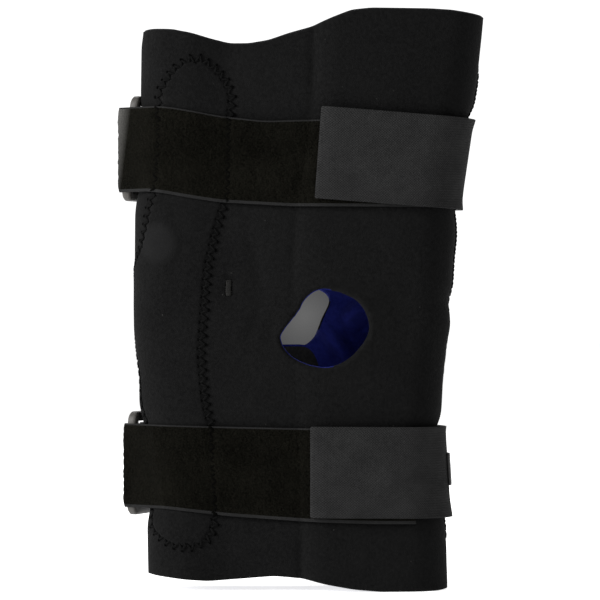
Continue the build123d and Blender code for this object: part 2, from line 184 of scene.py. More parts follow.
def back_hollow(x, z):
    """The back's folds: wrinkles that run down and outwards beside the opening behind the knee."""
    fold = 7.4 * oval(x, z, (20.5, 136.8), -53, 17, 4.4) - 6.6 * oval(x, z, (27.0, 141.2), -50, 11, 2.8)
    fold = fold + 8.0 * oval(x, z, (31.0, 156.0), 42, 10, 4.4) - 6.4 * oval(x, z, (37.0, 146.0), 42, 9, 3.6)
    fold = fold - 3.0 * oval(x, z, (17.0, 165.0), -20, 14, 5)
    slack = 1.6 * np.sin(z * 0.085 + x * 0.03) * smooth_step(98, 118, z) * smooth_step(212, 190, z)
    fade = smooth_step(-84, -66, x) * smooth_step(84, 66, x)
    return (fold + slack * smooth_step(40, 62, np.abs(x)) + 1.5) * fade


def strap_press(z):
    """The straps draw the sleeve in a little, and it swells beside them."""
    press = 0
    for middle, half in ((241, 24), (66, 24)):
        inside = smooth_step(-half - 5, -half + 3, z - middle) * smooth_step(half + 5, half - 3, z - middle)
        beside = bump_at(np.abs(z - middle), half + 11, 7)
        press = press + 1.1 * inside - 0.8 * beside
    return press


def hollow(x, z, y):
    fade = smooth_step(-86, -72, x) * smooth_step(86, 70, x)
    level = np.where(y > 0, back_hollow(x, z), front_hollow(x, z))
    return level + strap_press(z) * fade


def on_sleeve(t, z, out=0.0):
    x, y, nx, ny = outline(t, z)
    move = out - hollow(x, z, y)
    return np.stack([x + nx * move, y + ny * move, z + 0 * x], -1)


def normal_at(t, z):
    _, _, nx, ny = outline(t, z)
    return np.stack([nx, ny, 0 * nx], -1)


def inner_wall(points, z):
    """Inside the folds the lining stands off the side hinges, flat against their channel."""
    fade = 30 * (smooth_step(46, 32, z) + smooth_step(276, 292, z))
    left = np.interp(z, [50, 116, 188, 272], [-74.1, -75.3, -75.3, -77.6]) - fade
    right = np.interp(z, [50, 116, 188, 272], [66.7, 66.7, 66.7, 80.1]) + fade
    x = smooth_max(points[..., 0], left, 2.0)
    x = -smooth_max(-x, -right, 2.0)
    return np.stack([x, points[..., 1], points[..., 2]], -1)


# --- mesh helpers ----------------------------------------------------------------------
def make_object(name, points, faces, materials, choice):
    """A mesh object from points in millimetres."""
    points = np.asarray(points, float).reshape(-1, 3)
    used = np.zeros(len(points), bool)
    for face in faces:
        used[list(face)] = True
    number = np.cumsum(used) - 1
    faces = [[int(number[i]) for i in face] for face in faces]
    mesh = bpy.data.meshes.new(name)
    mesh.from_pydata((points[used] * MM).tolist(), [], faces)
    for material in materials:
        mesh.materials.append(material)
    mesh.polygons.foreach_set("material_index", np.array(choice, np.int32))
    mesh.polygons.foreach_set("use_smooth", np.full(len(faces), True))
    mesh.update()
    thing = bpy.data.objects.new(name, mesh)
    bpy.context.scene.collection.objects.link(thing)
    return thing


def face_outwards(thing):
    """Every face of a closed piece looks outwards."""
    work = bmesh.new()
    work.from_mesh(thing.data)
    bmesh.ops.recalc_face_normals(work, faces=work.faces)
    work.to_mesh(thing.data)
    work.free()
    return thing


def grid_faces(rows, columns, closed=False):
    """Quads of a grid whose points are numbered row by row."""
    faces = []
    for j in range(rows - 1):
        for i in range(columns if closed else columns - 1):
            k = (i + 1) % columns
            a = j * columns
            faces.append((a + i, a + k, a + columns + k, a + columns + i))
    return faces


def grid_rim(rows, columns):
    """The points round a grid's edge, in order, as pairs of neighbours."""
    rim = [j * columns for j in range(rows)] + [(rows - 1) * columns + i for i in range(1, columns)]
    rim += [j * columns + columns - 1 for j in range(rows - 2, -1, -1)] + [i for i in range(columns - 2, 0, -1)]
    return zip(rim, rim[1:] + rim[:1])


class Parts:
    """Collects points and faces that share one mesh."""

    def __init__(self):
        self.points, self.faces, self.choice = [], [], []

    def add(self, points, faces, choice=0):
        start = len(self.points)
        self.points.extend(np.asarray(points, float).reshape(-1, 3).tolist())
        self.faces.extend([[start + i for i in face] for face in faces])
        self.choice.extend([choice] * len(faces))

    def finish(self, name, materials):
        return make_object(name, self.points, self.faces, materials, self.choice)


# Threads lie on the front or back, so this direction is never along one.
THREAD_SIDE = np.array([0.0, -1.0, 0.05])


def tube(parts, line, radius, sides=6, choice=0):
    """A thread along a line of points, closed at both ends."""
    line = np.asarray(line, float)
    ahead = np.gradient(line, axis=0)
    ahead /= np.linalg.norm(ahead, axis=1)[:, None]
    side = np.cross(ahead, THREAD_SIDE)
    side /= np.linalg.norm(side, axis=1)[:, None]
    up = np.cross(side, ahead)
    angles = np.arange(sides) / sides * 2 * np.pi
    ring = side[:, None] * np.cos(angles)[None, :, None] + up[:, None] * np.sin(angles)[None, :, None]
    points = line[:, None] + ring * radius
    faces = grid_faces(len(line), sides, True)
    faces.append(tuple(range(sides))[::-1])
    faces.append(tuple((len(line) - 1) * sides + i for i in range(sides)))
    parts.add(points, faces, choice)


# --- materials -------------------------------------------------------------------------
def effect(name, inputs, outputs):
    """A shader node group with named values in and out."""
    group = bpy.data.node_groups.new(name, "ShaderNodeTree")
    for label, kind, value in inputs:
        socket = group.interface.new_socket(label, in_out="INPUT", socket_type=kind)
        socket.default_value = value
    for label, kind in outputs:
        group.interface.new_socket(label, in_out="OUTPUT", socket_type=kind)
    return group, Sheet(group)


class Sheet:
    """Places and joins shader nodes."""

    def __init__(self, tree):
        self.tree = tree

    def node(self, kind, **values):
        made = self.tree.nodes.new(kind)
        for key, value in values.items():
            if key.startswith("in_"):
                made.inputs[key[3:].replace("_", " ")].default_value = value
            else:
                setattr(made, key, value)
        return made

    def place(self):
        """Where a point lies on its object, in metres."""
        return self.node("ShaderNodeTexCoord").outputs["Object"]

    def join(self, source, target):
        self.tree.links.new(source, target)

    def math(self, operation, a, b=None, clamp=False):
        made = self.node("ShaderNodeMath", operation=operation, use_clamp=clamp)
        for socket, value in zip(made.inputs, (a, b)):
            if value is None:
                continue
            if isinstance(value, (int, float)):
                socket.default_value = value
            else:
                self.join(value, socket)
        return made.outputs[0]

    def mix(self, amount, a, b):
        made = self.node("ShaderNodeMix", data_type="RGBA")
        for socket, value in zip((made.inputs[0], made.inputs[6], made.inputs[7]), (amount, a, b)):
            if isinstance(value, (int, float, tuple)):
                socket.default_value = value
            else:
                self.join(value, socket)
        return made.outputs[2]

    def spread(self, value, low, high, to_low, to_high):
        made = self.node("ShaderNodeMapRange")
        self.join(value, made.inputs["Value"])
        for label, number in (("From Min", low), ("From Max", high), ("To Min", to_low), ("To Max", to_high)):
            made.inputs[label].default_value = number
        return made.outputs["Result"]


FLOAT, COLOUR = "NodeSocketFloat", "NodeSocketColor"


def knit_effect():
    """Fine jersey knit: rows of small loops, with a slow unevenness."""
    group, s = effect("jersey_knit", [("Loops per metre", FLOAT, 1400.0), ("Unevenness", FLOAT, 0.5)],
                      [("Height", FLOAT), ("Tone", FLOAT)])
    give = s.node("NodeGroupInput")
    take = s.node("NodeGroupOutput")
    place = s.place()
    loops = s.node("ShaderNodeTexVoronoi", feature="F1")
    s.join(place, loops.inputs["Vector"])
    s.join(give.outputs["Loops per metre"], loops.inputs["Scale"])
    grain = s.node("ShaderNodeTexNoise", in_Detail=3.0)
    s.join(place, grain.inputs["Vector"])
    s.join(s.math("MULTIPLY", give.outputs["Loops per metre"], 0.45), grain.inputs["Scale"])
    slow = s.node("ShaderNodeTexNoise", in_Scale=28.0, in_Detail=4.0, in_Roughness=0.6)
    s.join(place, slow.inputs["Vector"])
    height = s.math("ADD", s.math("MULTIPLY", s.math("SUBTRACT", 1.0, loops.outputs["Distance"]), 0.7),
                    s.math("MULTIPLY", grain.outputs["Fac"], 0.6))
    s.join(height, take.inputs["Height"])
    uneven = s.math("MULTIPLY", s.math("SUBTRACT", slow.outputs["Fac"], 0.5), give.outputs["Unevenness"])
    fine = s.math("MULTIPLY", s.math("SUBTRACT", grain.outputs["Fac"], 0.5), 1.7)
    s.join(s.math("ADD", s.math("ADD", uneven, fine), 0.5, clamp=True), take.inputs["Tone"])
    return group


def lint_effect():
    """A few pale specks of lint."""
    group, s = effect("lint", [("Specks", FLOAT, 260.0)], [("Speck", FLOAT)])
    give = s.node("NodeGroupInput")
    take = s.node("NodeGroupOutput")
    place = s.place()
    cells = s.node("ShaderNodeTexVoronoi", feature="F1")
    s.join(place, cells.inputs["Vector"])
    s.join(give.outputs["Specks"], cells.inputs["Scale"])
    dot = s.math("LESS_THAN", cells.outputs["Distance"], 0.055)
    pick = s.node("ShaderNodeSeparateColor")
    s.join(cells.outputs["Color"], pick.inputs["Color"])
    rare = s.math("GREATER_THAN", pick.outputs[0], 0.86)
    s.join(s.math("MULTIPLY", dot, rare), take.inputs["Speck"])
    return group


def weave_effect():
    """A plain weave that runs with height and depth, from crossed waves."""
    group, s = effect("woven_rib", [("Picks per metre", FLOAT, 1250.0), ("Ends per metre", FLOAT, 1000.0),
                                    ("Contrast", FLOAT, 0.22)],
                      [("Height", FLOAT), ("Tone", FLOAT)])
    give = s.node("NodeGroupInput")
    take = s.node("NodeGroupOutput")
    place = s.place()
    split = s.node("ShaderNodeSeparateXYZ")
    s.join(place, split.inputs["Vector"])
    rough = s.node("ShaderNodeTexNoise", in_Scale=700.0, in_Detail=2.0)
    s.join(place, rough.inputs["Vector"])
    wobble = s.math("MULTIPLY", rough.outputs["Fac"], 1.6)
    across = s.math("MULTIPLY", split.outputs["Z"], s.math("MULTIPLY", give.outputs["Picks per metre"], 6.283))
    along = s.math("MULTIPLY", s.math("ADD", split.outputs["X"], split.outputs["Y"]),
                   s.math("MULTIPLY", give.outputs["Ends per metre"], 6.283))
    rows = s.math("SINE", s.math("ADD", across, wobble))
    ends = s.math("SINE", s.math("ADD", along, wobble))
    cross = s.math("MULTIPLY", rows, ends)
    height = s.math("ADD", s.math("MULTIPLY", cross, 0.5), s.math("MULTIPLY", rows, 0.35))
    s.join(s.math("ADD", s.math("MULTIPLY", height, 0.5), 0.5), take.inputs["Height"])
    slow = s.node("ShaderNodeTexNoise", in_Scale=90.0, in_Detail=5.0, in_Roughness=0.7)
    s.join(place, slow.inputs["Vector"])
    fine = s.math("MULTIPLY", s.math("SUBTRACT", rough.outputs["Fac"], 0.5), 1.2)
    dots = s.math("MULTIPLY", s.math("ADD", cross, fine), give.outputs["Contrast"])
    tone = s.math("ADD", dots, slow.outputs["Fac"])
    s.join(s.math("ADD", tone, 0.0, clamp=True), take.inputs["Tone"])
    return group


def pile_effect():
    """Brushed loop pile: clumps of fine loops."""
    group, s = effect("loop_pile_clumps", [("Clumps per metre", FLOAT, 620.0)],
                      [("Height", FLOAT), ("Tone", FLOAT)])
    give = s.node("NodeGroupInput")
    take = s.node("NodeGroupOutput")
    place = s.place()
    bend = s.node("ShaderNodeTexNoise", in_Scale=400.0, in_Detail=3.0)
    s.join(place, bend.inputs["Vector"])
    shift = s.node("ShaderNodeVectorMath", operation="MULTIPLY_ADD")
    s.join(bend.outputs["Color"], shift.inputs[0])
    shift.inputs[1].default_value = (0.0014, 0.0014, 0.0014)
    s.join(place, shift.inputs[2])
    clumps = s.node("ShaderNodeTexVoronoi", feature="SMOOTH_F1")
    clumps.inputs["Smoothness"].default_value = 0.6
    s.join(shift.outputs["Vector"], clumps.inputs["Vector"])
    s.join(give.outputs["Clumps per metre"], clumps.inputs["Scale"])
    hair = s.node("ShaderNodeTexNoise", in_Detail=4.0, in_Roughness=0.75)
    s.join(place, hair.inputs["Vector"])
    s.join(s.math("MULTIPLY", give.outputs["Clumps per metre"], 2.6), hair.inputs["Scale"])
    height = s.math("ADD", s.math("SUBTRACT", 1.0, clumps.outputs["Distance"]),
                    s.math("MULTIPLY", hair.outputs["Fac"], 0.9))
    s.join(s.math("MULTIPLY", height, 0.6), take.inputs["Height"])
    slow = s.node("ShaderNodeTexNoise", in_Scale=60.0, in_Detail=3.0)
    s.join(place, slow.inputs["Vector"])
    tone = s.math("ADD", s.math("MULTIPLY", s.math("SUBTRACT", hair.outputs["Fac"], 0.5), 3.6),
                  s.math("MULTIPLY", s.math("SUBTRACT", slow.outputs["Fac"], 0.5), 0.7))
    s.join(s.math("ADD", tone, 0.5, clamp=True), take.inputs["Tone"])
    return group


knit, lint, weave, pile = knit_effect(), lint_effect(), weave_effect(), pile_effect()


def finish_of(name, **shader):
    """A new material, its Principled shader with constant values, and a Sheet to work on."""
    material = bpy.data.materials.new(name)
    material.use_nodes = True
    s = Sheet(material.node_tree)
    body = next(n for n in material.node_tree.nodes if n.type == "BSDF_PRINCIPLED")
    for key, value in shader.items():
        body.inputs[key.replace("_", " ")].default_value = value
    return material, body, s


def painted_bend_highlight(s, colour):
    """Painted highlight: the pile's colour turns lighter where the upper band bends sharply round its ring, standing
    for light caught on the bent pile.
    """
    place = s.place()
    split = s.node("ShaderNodeSeparateXYZ")
    s.join(place, split.inputs["Vector"])
    bend_x = s.math("ADD", s.math("MULTIPLY", split.outputs["Z"], 0.13), -0.1297)
    past = s.math("SUBTRACT", bend_x, split.outputs["X"])
    return s.mix(s.spread(past, 0, 0.008, 0, 1), colour, (0.060, 0.059, 0.056, 1))


def painted_highlight_patch(s, colour):
    """Painted highlight: a round patch of the jersey on the left front, above the hinge's covers, is coloured a little
    paler, standing for light caught there.
    """
    place = s.place()
    squeeze = s.node("ShaderNodeMapping")
    squeeze.inputs["Location"].default_value = (7.18, 0.4, -16.17)
    squeeze.inputs["Scale"].default_value = (90.9, 25, 83.3)
    s.join(place, squeeze.inputs["Vector"])
    gap = s.node("ShaderNodeVectorMath", operation="LENGTH")
    s.join(squeeze.outputs["Vector"], gap.inputs[0])
    return s.mix(s.spread(gap.outputs["Value"], 0.70, 1.10, 0.9, 0), colour, (0.0058, 0.0058, 0.0059, 1))


def textured(name, group, dark, light, rough=(0.8, 0.95), depth=0.3, distance=0.0004, values=(), specks=0.0,
             bend_highlight=False, highlight_patched=False, **shader):
    """A cloth or plastic whose colour, roughness and relief come from one of the effects."""
    material, body, s = finish_of(name, **shader)
    made = s.node("ShaderNodeGroup", node_tree=group)
    for label, value in values:
        made.inputs[label].default_value = value
    colour = s.mix(made.outputs["Tone"], (*dark, 1), (*light, 1))
    if specks:
        dots = s.node("ShaderNodeGroup", node_tree=lint)
        dots.inputs["Specks"].default_value = specks
        colour = s.mix(dots.outputs["Speck"], colour, (0.026, 0.026, 0.025, 1))
    # painted highlight on the pile where the upper band bends round its ring
    if bend_highlight:
        colour = painted_bend_highlight(s, colour)
    # painted highlight patch on the left front
    if highlight_patched:
        colour = painted_highlight_patch(s, colour)
    s.join(colour, body.inputs["Base Color"])
    s.join(s.spread(made.outputs["Tone"], 0, 1, rough[1], rough[0]), body.inputs["Roughness"])
    relief = s.node("ShaderNodeBump")
    relief.inputs["Strength"].default_value = depth
    relief.inputs["Distance"].default_value = distance
    s.join(made.outputs["Height"], relief.inputs["Height"])
    s.join(relief.outputs["Normal"], body.inputs["Normal"])
    return material


# the black jersey carries a painted highlight patch on the left front
jersey = textured("black_jersey", knit, (0.0018, 0.0018, 0.00185), (0.0046, 0.0046, 0.0046), depth=0.5,
                  values=[("Unevenness", 0.7)], specks=210.0, Specular_IOR_Level=0.02, Sheen_Weight=0.014,
                  Sheen_Roughness=0.6, highlight_patched=True)
lining = textured("blue_lining", knit, (0.008, 0.0105, 0.095), (0.015, 0.021, 0.17), depth=0.6,
                  values=[("Loops per metre", 1100.0), ("Unevenness", 0.8)], Specular_IOR_Level=0.08,
                  Sheen_Weight=0.02)
cut_edge = textured("blue_cut_edge", knit, (0.006, 0.009, 0.08), (0.010, 0.016, 0.15), depth=0.8,
                    values=[("Loops per metre", 1700.0)], Specular_IOR_Level=0.06)
foam = textured("neoprene_foam_edge", knit, (0.004, 0.004, 0.0045), (0.011, 0.011, 0.0115), depth=0.9,
                values=[("Loops per metre", 2300.0)], Specular_IOR_Level=0.06)
# the loop pile carries a painted highlight where the upper band bends round its ring
loop_pile = textured("black_loop_pile", pile, (0.0002, 0.0002, 0.0001), (0.0049, 0.0046, 0.0034), depth=1.0,
                     distance=0.0008, Specular_IOR_Level=0.01, rough=(0.9, 1.0), Sheen_Weight=0.008,
                     Sheen_Roughness=0.5, bend_highlight=True)
# lighter woven selvedge along the band edges; made wider on the lower edge, a painted highlight where the band curls
# outwards
selvedge_and_highlight = textured("band_selvedge_and_highlight", weave, (0.0045, 0.0045, 0.0045), (0.0125, 0.0125, 0.0125), depth=0.6,
                    values=[("Picks per metre", 1600.0), ("Ends per metre", 900.0)], Specular_IOR_Level=0.08)
hook_back = textured("charcoal_tape_back", weave, (0.0058, 0.0058, 0.0059), (0.0172, 0.0172, 0.0172), depth=0.7,
                     values=[("Picks per metre", 720.0), ("Ends per metre", 590.0), ("Contrast", 0.5)],
                     distance=0.0005, Specular_IOR_Level=0.05, Sheen_Weight=0.012)
hook_field = textured("black_hook_field", pile, (0.004, 0.004, 0.004), (0.02, 0.02, 0.02), depth=0.9,
                      values=[("Clumps per metre", 800.0)], rough=(0.35, 0.6), Specular_IOR_Level=0.4)
webbing = textured("black_webbing", weave, (0.0026, 0.0026, 0.0028), (0.0105, 0.0105, 0.0108), depth=0.8,
                   values=[("Picks per metre", 700.0), ("Ends per metre", 520.0), ("Contrast", 0.4)],
                   Specular_IOR_Level=0.12)
pocket_thread = textured("black_pocket_thread", weave, (0.0021, 0.0021, 0.0021), (0.0049, 0.0049, 0.0049), depth=0.5,
                         values=[("Picks per metre", 2500.0), ("Ends per metre", 2500.0)],
                         Specular_IOR_Level=0.02)
tack_thread = textured("dark_grey_tack_thread", weave, (0.0045, 0.0044, 0.004), (0.0115, 0.0112, 0.0105), depth=0.5,
                       values=[("Picks per metre", 2500.0), ("Ends per metre", 2500.0)], Specular_IOR_Level=0.12)
# a darker copy of the black thread: painted shade for the grooves where the zigzag sinks into the loop bands
sunk_thread_painted_shade = textured("thread_sunk_in_pile_painted_shade", weave, (0.0005, 0.0005, 0.0004), (0.0016, 0.0015, 0.0012), depth=0.5,
                       values=[("Picks per metre", 2500.0), ("Ends per metre", 2500.0)], Specular_IOR_Level=0.02)
# a lighter copy of the black jersey: painted light for the turned-in lip, which sits in shade inside the sleeve
lip_jersey_painted_light = textured("turned_in_jersey_painted_light", knit, (0.010, 0.010, 0.0102), (0.022, 0.022, 0.022), depth=0.5,
                      values=[("Unevenness", 0.9)], Specular_IOR_Level=0.03)
# near-black needle holes: painted shade for the hollow of each hole
needle_hole_painted_shade = textured("needle_hole_painted_shade", knit, (0.0006, 0.0006, 0.0006), (0.0012, 0.0012, 0.0012),
                       Specular_IOR_Level=0.0)
label_cloth = textured("black_satin_label", weave, (0.004, 0.004, 0.004), (0.011, 0.011, 0.011), depth=0.3,
                       values=[("Picks per metre", 2600.0), ("Ends per metre", 1500.0)], rough=(0.4, 0.55),
                       Specular_IOR_Level=0.25)


def plastic_or_metal(name, colour, rough, metal, streaks, specular=0.5):
    """Moulded plastic or brushed metal with fine streaks, scuffs and a little wear."""
    material, body, s = finish_of(name, Metallic=metal, Specular_IOR_Level=specular)
    place = s.place()
    squeeze = s.node("ShaderNodeMapping")
    squeeze.inputs["Scale"].default_value = streaks
    s.join(place, squeeze.inputs["Vector"])
    lines = s.node("ShaderNodeTexNoise", in_Scale=1.0, in_Detail=4.0, in_Roughness=0.65)
    s.join(squeeze.outputs["Vector"], lines.inputs["Vector"])
    scuff = s.node("ShaderNodeTexNoise", in_Scale=160.0, in_Detail=5.0)
    s.join(place, scuff.inputs["Vector"])
    tone = s.math("ADD", s.math("MULTIPLY", lines.outputs["Fac"], 0.6), s.math("MULTIPLY", scuff.outputs["Fac"], 0.4))
    darker = tuple(c * 0.72 for c in colour)
    s.join(s.mix(tone, (*darker, 1), (*colour, 1)), body.inputs["Base Color"])
    s.join(s.spread(tone, 0.3, 0.7, rough * 0.8, rough * 1.3), body.inputs["Roughness"])
    relief = s.node("ShaderNodeBump")
    relief.inputs["Strength"].default_value = 0.15
    relief.inputs["Distance"].default_value = 0.0001
    s.join(tone, relief.inputs["Height"])
    s.join(relief.outputs["Normal"], body.inputs["Normal"])
    return material


ring_plastic = plastic_or_metal("satin_grey_plastic", (0.055, 0.052, 0.048), 0.5, 0.0, (300, 300, 300), 0.25)
arm_metal = plastic_or_metal("brushed_aluminium", (0.62, 0.63, 0.64), 0.32, 1.0, (900, 900, 18))
cover_metal = plastic_or_metal("brushed_steel", (0.55, 0.55, 0.56), 0.28, 1.0, (900, 900, 30))
rivet_metal = plastic_or_metal("turned_rivet_steel", (0.66, 0.66, 0.67), 0.18, 1.0, (500, 500, 500))
nylon = plastic_or_metal("natural_nylon", (0.72, 0.72, 0.68), 0.45, 0.0, (400, 400, 400))


# --- the sleeve ------------------------------------------------------------------------
COLUMNS, ROWS = 260, 208
HEM_ROUNDING = 0.5


def ring_reach(points, centre):
    """How far a closed outline lies from its centre in each direction."""
    offsets = np.array(points, float) - np.array(centre)
    angles = np.arctan2(offsets[:, 1], offsets[:, 0])
    order = np.argsort(angles)
    angles, far = angles[order], np.hypot(*offsets[order].T)
    fine = np.linspace(-np.pi, np.pi, 721)
    line = np.interp(fine, np.concatenate([angles - 2 * np.pi, angles, angles + 2 * np.pi]), np.tile(far, 3))
    kernel = np.hanning(21)
    line = np.convolve(np.pad(line[:-1], 40, mode="wrap"), kernel / kernel.sum(), "same")[40:-40]
    line = np.append(line, line[0])
    return lambda angle: np.interp(np.mod(angle + np.pi, 2 * np.pi) - np.pi, fine, line)


# Outlines of the openings, in X and Z: a kidney over the kneecap, an oval behind the knee.
KNEECAP = {
    "behind": False, "middle": (14.0, 147.0), "half": (17, 15),
    "reach": ring_reach([(-12.3, 142), (-10.4, 145.2), (-6.9, 150.0), (-3.6, 154.2), (-0.8, 158.2), (1.2, 162.6),
                         (4.5, 166.2), (8.3, 168.7), (13, 169.7), (18.8, 168.7), (26.3, 166.2), (33, 162.5),
                         (37.3, 157.1), (39.3, 151.4), (40, 146.5), (38.6, 141.7), (34, 134.9), (28.4, 129.2),
                         (21.6, 125.3), (15, 123.8), (8.2, 124.5), (0.6, 126.9), (-6.1, 130.7), (-10.5, 136)],
                        (14.0, 147.0)),
}
POPLITEAL = {
    "behind": True, "middle": (-21.5, 151.0), "half": (20, 13),
    "reach": ring_reach([(3.8, 136.2), (6.4, 137.8), (9.8, 141.6), (11.6, 146.2), (13.6, 151.9), (15.9, 156.6),
                         (17.8, 160.4), (17.9, 163.9), (15, 167.2), (11.3, 169), (4, 172), (-6, 175), (-21.5, 177.5),
                         (-38, 175), (-51, 166), (-58, 153), (-55, 142), (-42, 135), (-21.5, 133), (-8, 133.5)],
                        (-21.5, 151.0)),
}


def sleeve_grid():
    """Where each grid point lies: its t and height, before and after it makes room for the openings."""
    t = np.arange(COLUMNS) / COLUMNS
    v = np.linspace(0, 1, ROWS)
    t, v = np.meshgrid(t, v)
    x, y, _, _ = outline(t, 160 + 0 * t)
    low = low_hem(x) - 2.5 * (y > 0) * smooth_step(0, 20, y)
    low = np.maximum(low, HEM_ROUNDING)
    x_up, _, _, _ = outline(t, 316 + 0 * t)
    z = low + v * (top_hem(x_up) - low)
    return t, z


def make_room(t, z, hole):
    """Moves grid points outwards from a block of cells until the block's edge is the opening's edge."""
    mx, mz = hole["middle"]
    column = int(round(float(at_x(np.array(mx), np.array(mz), hole["behind"])) * COLUMNS))
    row = int(np.argmin(np.abs(z[:, column] - mz)))
    a, b = hole["half"]
    x, y, _, _ = outline(t, z)
    cx, cz = x[row, column], z[row, column]
    i = np.mod(np.arange(COLUMNS) - column + COLUMNS // 2, COLUMNS) - COLUMNS // 2
    q = np.maximum(np.abs(i)[None, :] / a, np.abs(np.arange(ROWS) - row)[:, None] / b)
    near = (q < 2.4) & (q >= 1 - 1e-9)
    dx, dz = x - cx, z - cz
    r = np.hypot(dx, dz) + 1e-9
    pull = 1 - smooth_step(1, 2.4, q)
    far = q * (r / np.maximum(q, 1e-9) + (hole["reach"](np.arctan2(dz, dx)) - r / np.maximum(q, 1e-9)) * pull)
    new_x = cx + (mx - cx) * pull + dx / r * far
    new_z = cz + (mz - cz) * pull + dz / r * far
    new_t = at_x(new_x, new_z, hole["behind"])
    hole["block"] = (column - a, column + a, row - b, row + b)
    return np.where(near, new_t, t), np.where(near, new_z, z)


def block_edge(hole):
    """The grid points round an opening, as (row, column), in order."""
    i0, i1, j0, j1 = hole["block"]
    edge = [(j0, i) for i in range(i0, i1)] + [(j, i1) for j in range(j0, j1)]
    edge += [(j1, i) for i in range(i1, i0, -1)] + [(j, i0) for j in range(j1, j0, -1)]
    return edge


def sleeve():
    """One neoprene tube with two openings: black jersey outside, blue lining inside."""
    t, z = sleeve_grid()
    for hole in (KNEECAP, POPLITEAL):
        t, z = make_room(t, z, hole)
    parts = Parts()
    outer = on_sleeve(t, z)
    inner = inner_wall(on_sleeve(t, z, -NEOPRENE), z)
    count = COLUMNS * ROWS

    def cut_out(j, i):
        for hole in (KNEECAP, POPLITEAL):
            i0, i1, j0, j1 = hole["block"]
            if i0 <= i < i1 and j0 <= j < j1:
                return True
        return False

    cells = [(j, i) for j in range(ROWS - 1) for i in range(COLUMNS) if not cut_out(j, i)]
    skin = []
    for j, i in cells:
        a, b = j * COLUMNS + i, j * COLUMNS + (i + 1) % COLUMNS
        skin.append((a, b, b + COLUMNS, a + COLUMNS))
    parts.add(outer, skin, 0)
    parts.add(inner, [face[::-1] for face in skin], 1)

    # rounded cut edges along both hems and round both openings
    profile = [(0.12, -0.45), (0.75, -1.0), (1.0, -2.0), (0.75, -3.2), (0.15, -3.8)]

    def edge_strip(edge, push_x, push_z, swell, behind, colours):
        te = np.array([t[j, i] for j, i in edge])
        ze = np.array([z[j, i] for j, i in edge])
        xe = outline(te, ze)[0]
        rows = []
        for part, out in profile:
            if behind is None:
                place = on_sleeve(te, ze, out)
            else:
                shifted = xe + push_x * part * swell
                te2 = at_x(shifted, ze + push_z * part * swell, behind)
                place = on_sleeve(te2, ze, out)
            place[:, 2] = ze + push_z * part * swell
            rows.append(inner_wall(place, place[:, 2]) if out < -3 else place)
        start = len(parts.points)
        n = len(edge)
        parts.add(np.concatenate(rows), [], 0)
        outside = [j * COLUMNS + i for j, i in edge]
        inside = [count + k for k in outside]
        lines = [outside] + [list(range(start + k * n, start + (k + 1) * n)) for k in range(len(profile))] + [inside]
        for k, (one, two) in enumerate(zip(lines[:-1], lines[1:])):
            for m in range(n):
                p = (m + 1) % n
                parts.faces.append([one[m], one[p], two[p], two[m]])
                parts.choice.append(colours(m)[k])

    around = list(range(COLUMNS))
    hem_colours = lambda m: (0, 2, 2, 2, 2, 1)
    edge_strip([(0, i) for i in around], 0, -1, HEM_ROUNDING, None, hem_colours)
    edge_strip([(ROWS - 1, i) for i in around][::-1], 0, 1, 1.1, None, hem_colours)
    for hole in (KNEECAP, POPLITEAL):
        edge = block_edge(hole)
        te = np.array([t[j, i] for j, i in edge])
        ze = np.array([z[j, i] for j, i in edge])
        xe = outline(te, ze)[0]
        mx, mz = hole["middle"]
        far = np.hypot(xe - mx, ze - mz)
        # the lining comes right round the cut edge on the kneecap's left side; on the back opening's right edge,
        # between heights 146 and 162, the rim is black jersey all through, painted shade for the shadow along that edge
        turned = (xe - mx < 4) if not hole["behind"] else np.zeros(len(edge), bool)
        black = (xe > 9) & (ze > 146) & (ze < 162) if hole["behind"] else np.zeros(len(edge), bool)
        edge_strip(edge, (mx - xe) / far, (mz - ze) / far, 1.3, hole["behind"],
                   lambda m: (0, 0, 3 if turned[m] else 0, 0 if black[m] else 3, 0 if black[m] else 1, 1))
    thing = make_object("neoprene_sleeve", parts.points, parts.faces, [jersey, lining, foam, cut_edge], parts.choice)
    face_outwards(thing)
    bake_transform(thing)
    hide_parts("calf_sleeve", "knee_sleeve", "thigh_sleeve")


sleeve()


# --- pockets over the side hinges ------------------------------------------------------
# The left pocket's outline: its inner line by X, its outer line by the way round from the fold.
pocket_inner = eased([(25, -62.5), (26, -57.5), (28.5, -52.5), (34, -49), (40, -47.4), (93, -49.7), (101, -51.9),
                      (112, -53.6), (134, -55.2), (157, -53.6), (179, -51.9), (198, -48), (214, -43.3),
                      (221, -40.6), (264, -39.8), (270, -38.6), (277, -38.6), (286, -43), (293, -50),
                      (296.3, -57)], 2.0)
pocket_outer = eased([(25, 34), (26, 29), (28, 24), (32, 17), (36, 12), (48, 8), (70, 10), (92, 12.5), (99, 10.5),
                      (123, 7), (143, 0), (160, -4), (176, 0), (190, 14), (206, 19.5), (224, 22), (268, 22.5),
                      (278, 24), (288, 30), (294, 37), (296.3, 42)], 2.0)
# The right pocket's front line, by how far before the right fold it lies, and the pocket's width.
right_front = eased([(25, -9), (30, -3), (38, 0), (46, -1), (92, -5), (123, -9), (145, -9), (160, -5), (172, -0.5),
                     (210, 0), (222, -2), (268, -1.5), (278, 0), (288, -2), (293, -6), (296.3, -12)], 2.0)
right_width = eased([(25, 8), (28, 22), (34, 34), (48, 43), (92, 47), (143, 50), (176, 46), (206, 43), (268, 43),
                     (280, 38), (290, 26), (296.3, 8)], 2.0)
POCKET_LOW, POCKET_HIGH = 25.0, 296.3


def girth(z):
    middle, reach, radius, centre, turn = plan(z)
    return 4 * FOLD * turn + 4 * radius * (np.pi / 2 - turn)


def pocket_lines(z, side):
    """The t of a pocket's inner and outer lines. The right pocket lies behind the right fold."""
    if side == "left":
        return at_x(pocket_inner(z), z), pocket_outer(z) / girth(z)
    front = 0.5 - right_front(z) / girth(z)
    return front, front + right_width(z) / girth(z)


